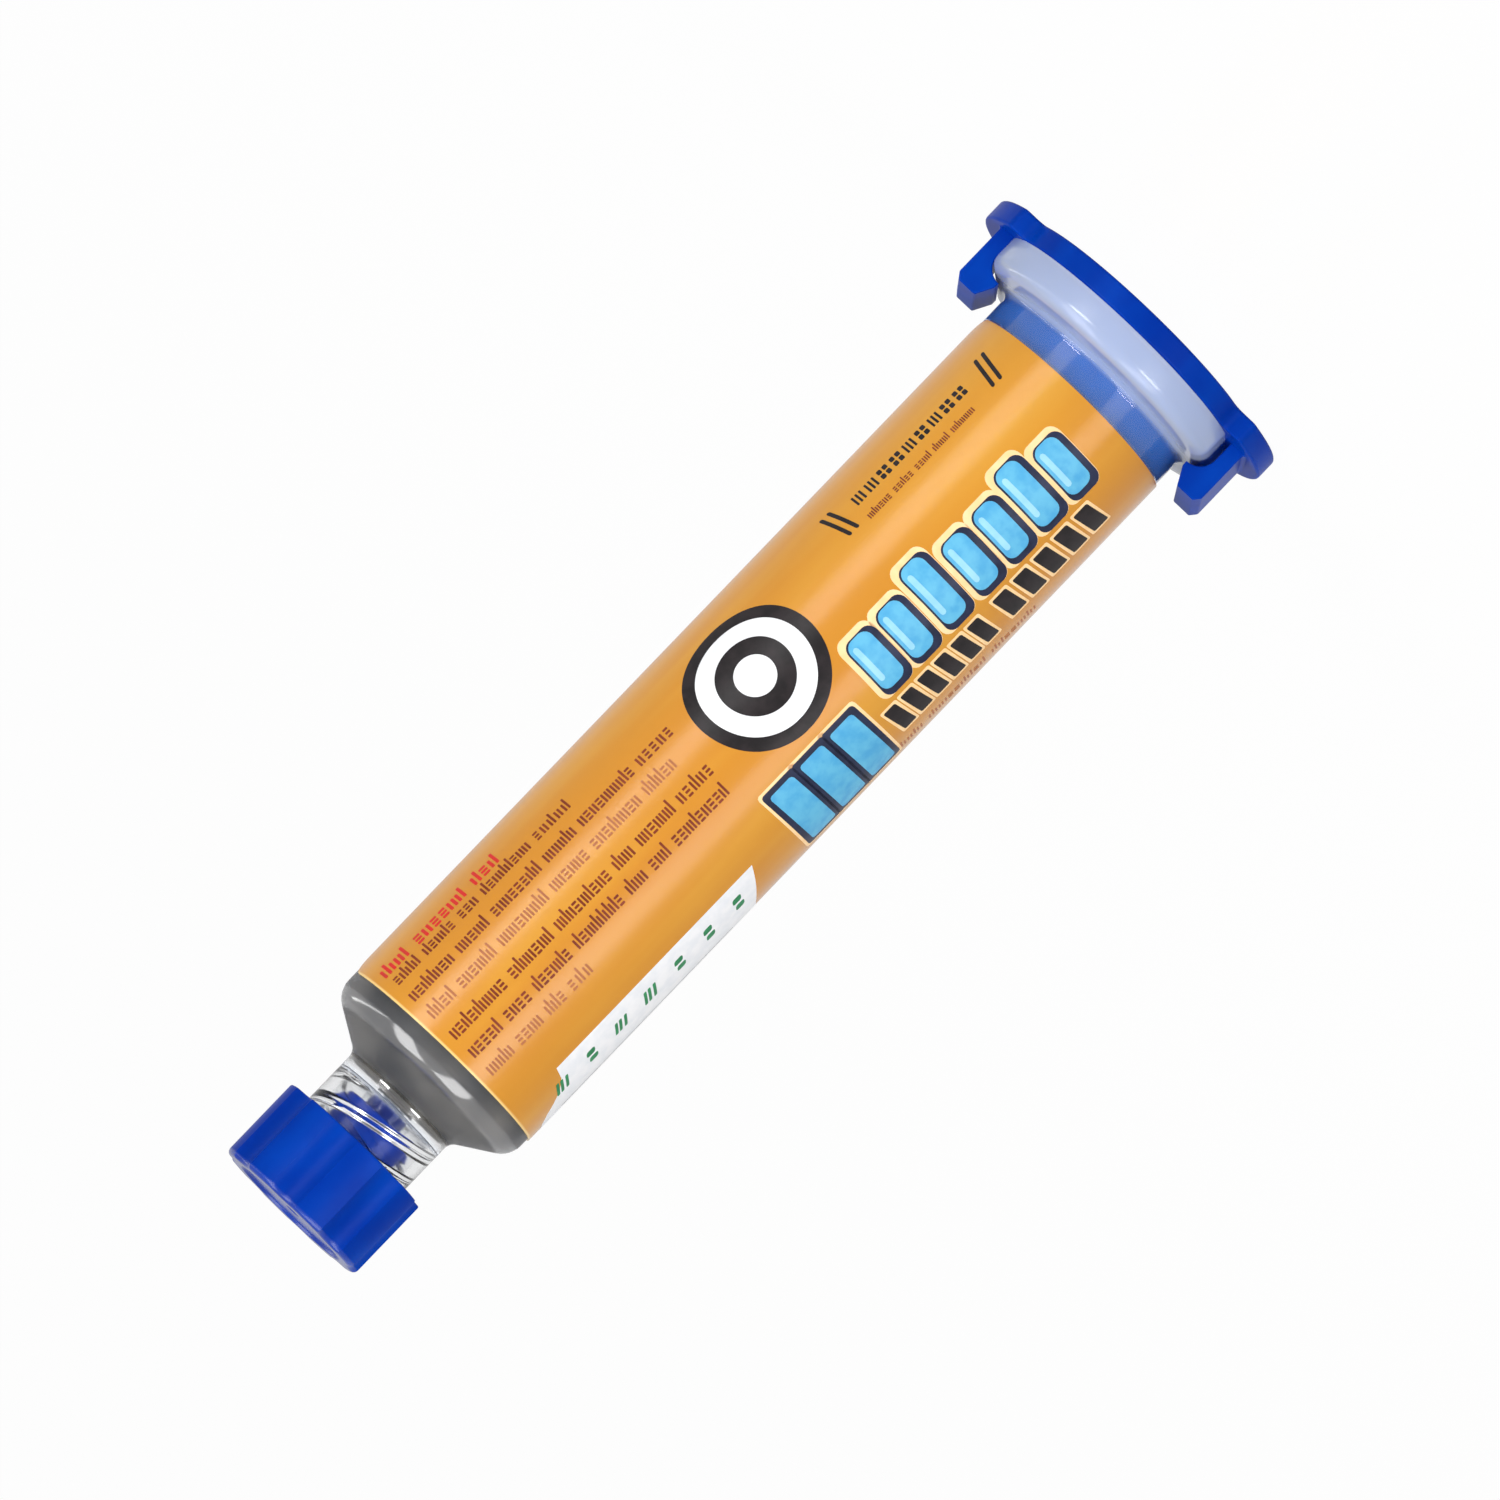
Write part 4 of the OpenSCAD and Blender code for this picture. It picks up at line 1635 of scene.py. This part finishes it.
BROWN = Ink("brown ink", linear(112, 44, 18), linear(132, 58, 26))
FADED = Ink("faded brown ink", linear(160, 92, 48), linear(172, 104, 58))
RED = Ink("red ink", linear(208, 40, 34), linear(192, 52, 38))
BLACK = Ink("black ink", linear(24, 20, 22), linear(38, 32, 34))
NAVY = Ink("navy ink", linear(24, 30, 54), linear(36, 44, 72))
SKY = Ink("sky blue ink", linear(76, 162, 210), linear(98, 181, 217))
PALE_SKY = Ink("pale sky blue ink", linear(142, 202, 230), linear(156, 211, 234))
HALO = Ink("pale orange ink", linear(252, 216, 164), linear(248, 206, 148))
WHITE = Ink("white ink", linear(240, 240, 242), linear(230, 232, 236))
GREEN = Ink("green ink", linear(30, 120, 72), linear(44, 138, 86))
GREY = Ink("grey ink", linear(120, 118, 116), linear(138, 136, 132))


def print_front(art: LabelPrint) -> None:
    """Prints what shows from the front: rows, blocks, a plain round mark and the white panel."""
    rows = [Line(-6.6, 57.7, 76.2), Line(-4.45, 48.3, 76.3), Line(0.0, 48.4, 76.3), Line(2.0, 48.4, 76.3)]
    art.text("print_text_rows", rows, BROWN, height=1.3, pitch=0.64, weight=0.2, seed=4)
    rows = [Line(-2.35, 48.3, 76.3), Line(4.0, 65.7, 76.3)]
    art.text("print_pale_rows", rows, FADED, height=1.3, pitch=0.64, weight=0.19, seed=21)
    rows = [Line(-8.1, 61.6, 76.3)]
    art.text("print_red_row", rows, RED, height=1.6, pitch=0.9, weight=0.28, seed=31)
    rows = [Line(-5.0, 13.4, 25.5)]
    art.text("print_small_row", rows, BROWN, height=0.75, pitch=0.4, weight=0.12, seed=41)
    rows = [Line(12.4, 20.9, 36.2)]
    art.text("print_side_row", rows, FADED, height=1.1, pitch=0.7, weight=0.17, seed=51)
    bars = [[Patch.rounded(1.1, 0.2, 0.05, 0, z) for z in (-0.4, 0, 0.4)],
            [Patch.rounded(0.5, 0.42, 0.1, x, z) for x in (-0.32, 0.32) for z in (-0.3, 0.3)]]
    art.row("print_mark_column", [Line(-7.3, 13.8, 25.0)], bars, BLACK, 1.4, seed=3)
    leans = ((11.4, 0.2), (10.6, 0.2), (27.1, -0.2), (27.9, -0.2))
    ends = [Patch.rounded(3.4, 0.35, 0.17, -7.0, z, slant=lean) for z, lean in leans]
    art.field("print_side_bars", ends, BLACK)
    # Width round the barrel and height up it of each light-blue block, all with the same foot
    blocks = [(5.0, 12.6), (5.9, 16.0), (5.0, 19.4), (5.0, 22.8), (6.0, 26.4), (5.0, 30.0), (5.0, 33.3)]
    foot, thick, corner = 5.6, 2.3, 0.8
    fills = [Patch.rounded(width, thick, corner, foot - width / 2, z) for width, z in blocks]
    art.field("print_block_halo", [patch.grown(0.62) for patch in fills], HALO, 1)
    shadow_foot = foot + 0.25
    shade = [Patch.rounded(width, thick, corner, shadow_foot - width / 2, z - 0.2) for width, z in blocks]
    art.field("print_block_edge", [patch.grown(0.36) for patch in shade], NAVY, 2)
    art.field("print_block_fill", fills, SKY, 3)
    shine = [Patch.rounded(width * 0.7, 0.5, 0.25, 5.4 - width / 2, z + 0.62) for width, z in blocks]
    art.field("print_block_shine", shine, PALE_SKY, 4)
    bold = [Patch.rounded(3.2, 1.5, 0.15, 8.5, 13.6 + 2.26 * i, slant=-0.22) for i in range(5)]
    bold += [Patch.rounded(3.2, 1.25, 0.15, 8.5, 25.6 + 1.84 * i, slant=-0.22) for i in range(6)]
    art.field("print_bold_halo", [patch.grown(0.24) for patch in bold], HALO, 1)
    art.field("print_bold_row", bold, BLACK, 2)
    big = [Patch.rounded(7.4, 2.5, 0.3, 8.3, z, slant=-0.1) for z in (38.4, 41.7, 45.0)]
    art.field("print_large_halo", [patch.grown(0.75) for patch in big], HALO, 1)
    art.field("print_large_edge", [patch.grown(0.5) for patch in big], NAVY, 2)
    art.field("print_large_fill", big, SKY, 3)
    discs = [(5.9, BLACK), (4.8, WHITE), (3.2, BLACK), (1.7, WHITE)]
    for layer, (radius, ink) in enumerate(discs, 1):
        art.field(f"print_round_mark_{layer}", [Patch.disc(radius, -2.9, 40.6)], ink, layer)
    edges = ((7.9, 51.0, 72.6), (9.2, 51.4, 72.8), (10.2, 51.7, 73.4), (11.2, 52.0, 74.4), (12.0, 52.2, 75.4),
             (13.0, 52.4, 76.1), (14.4, 52.5, 76.4), (24.0, 52.5, 76.4))
    art.field("print_white_panel", [Patch(edges)], WHITE)
    greens = [[Patch.rounded(1.7, 0.3, 0.1, 0, z, slant=0.25) for z in (-0.45, 0.1, 0.55)],
              [Patch.rounded(0.7, 0.9, 0.2, x, 0.0, slant=0.25) for x in (-0.5, 0.5)]]
    art.row("print_green_marks", [Line(10.1, 53.6, 73.0)], greens, GREEN, 2.95, spread=0.2, layer=2, seed=5)


def print_back(art: LabelPrint) -> None:
    """Prints what shows from behind: the panel's ruled lines and more rows."""
    ruled = [Patch.rounded(0.12, 19.0, 0, 13.6 + 1.9 * i, 64.5) for i in range(5)]
    art.field("print_ruled_lines", ruled, GREY, 2)
    rows = [Line(26.6 + 2.1 * i, 40.0 + 5 * (i % 2), 76.0) for i in range(6)]
    art.text("print_back_rows", rows, BROWN, height=1.2, pitch=0.64, weight=0.17, seed=61)
    rows = [Line(28.6, 12.0, 32.0)]
    art.text("print_back_title", rows, BLACK, height=2.4, pitch=1.5, weight=0.4, seed=71)
    rows = [Line(31.4 + 1.7 * i, 12.0, 33.0 - 3 * (i % 3)) for i in range(4)]
    art.text("print_back_notes", rows, BROWN, height=0.95, pitch=0.5, weight=0.14, seed=81)
    frame_bars = [Patch.rounded(0.2, 25.0, 0, s, 23.0) for s in (15.5, 24.5)]
    frame_bars += [Patch.rounded(9.2, 0.2, 0, 20.0, z) for z in (10.6, 23.0, 35.4)]
    art.field("print_back_frame", frame_bars, BLACK)


def main() -> None:
    """Builds the syringe and its studio."""
    logging.basicConfig(level=logging.INFO, format="%(name)s: %(message)s")
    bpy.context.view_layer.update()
    Studio().build()
    barrel = ClearBarrel()
    barrel.build(ClearPlastic().material())
    PasteFill().build(GreyPaste().material(), barrel)
    WiperPiston().build(MouldedBlue("blue piston").material())
    # The end cap's ring gets the painted glow of paler blue
    HookedEndCap().build(MouldedBlue("blue end cap", painted_glow_r=8.2).material())
    ScrewTipCap().build(MouldedBlue("blue tip cap", shiny_z=(93.8, 94.0)).material())
    label = WrapLabel()
    label.build(OrangeFilm().material())
    art = LabelPrint(label)
    print_front(art)
    print_back(art)
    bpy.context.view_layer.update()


if __name__ == "__main__":
    main()
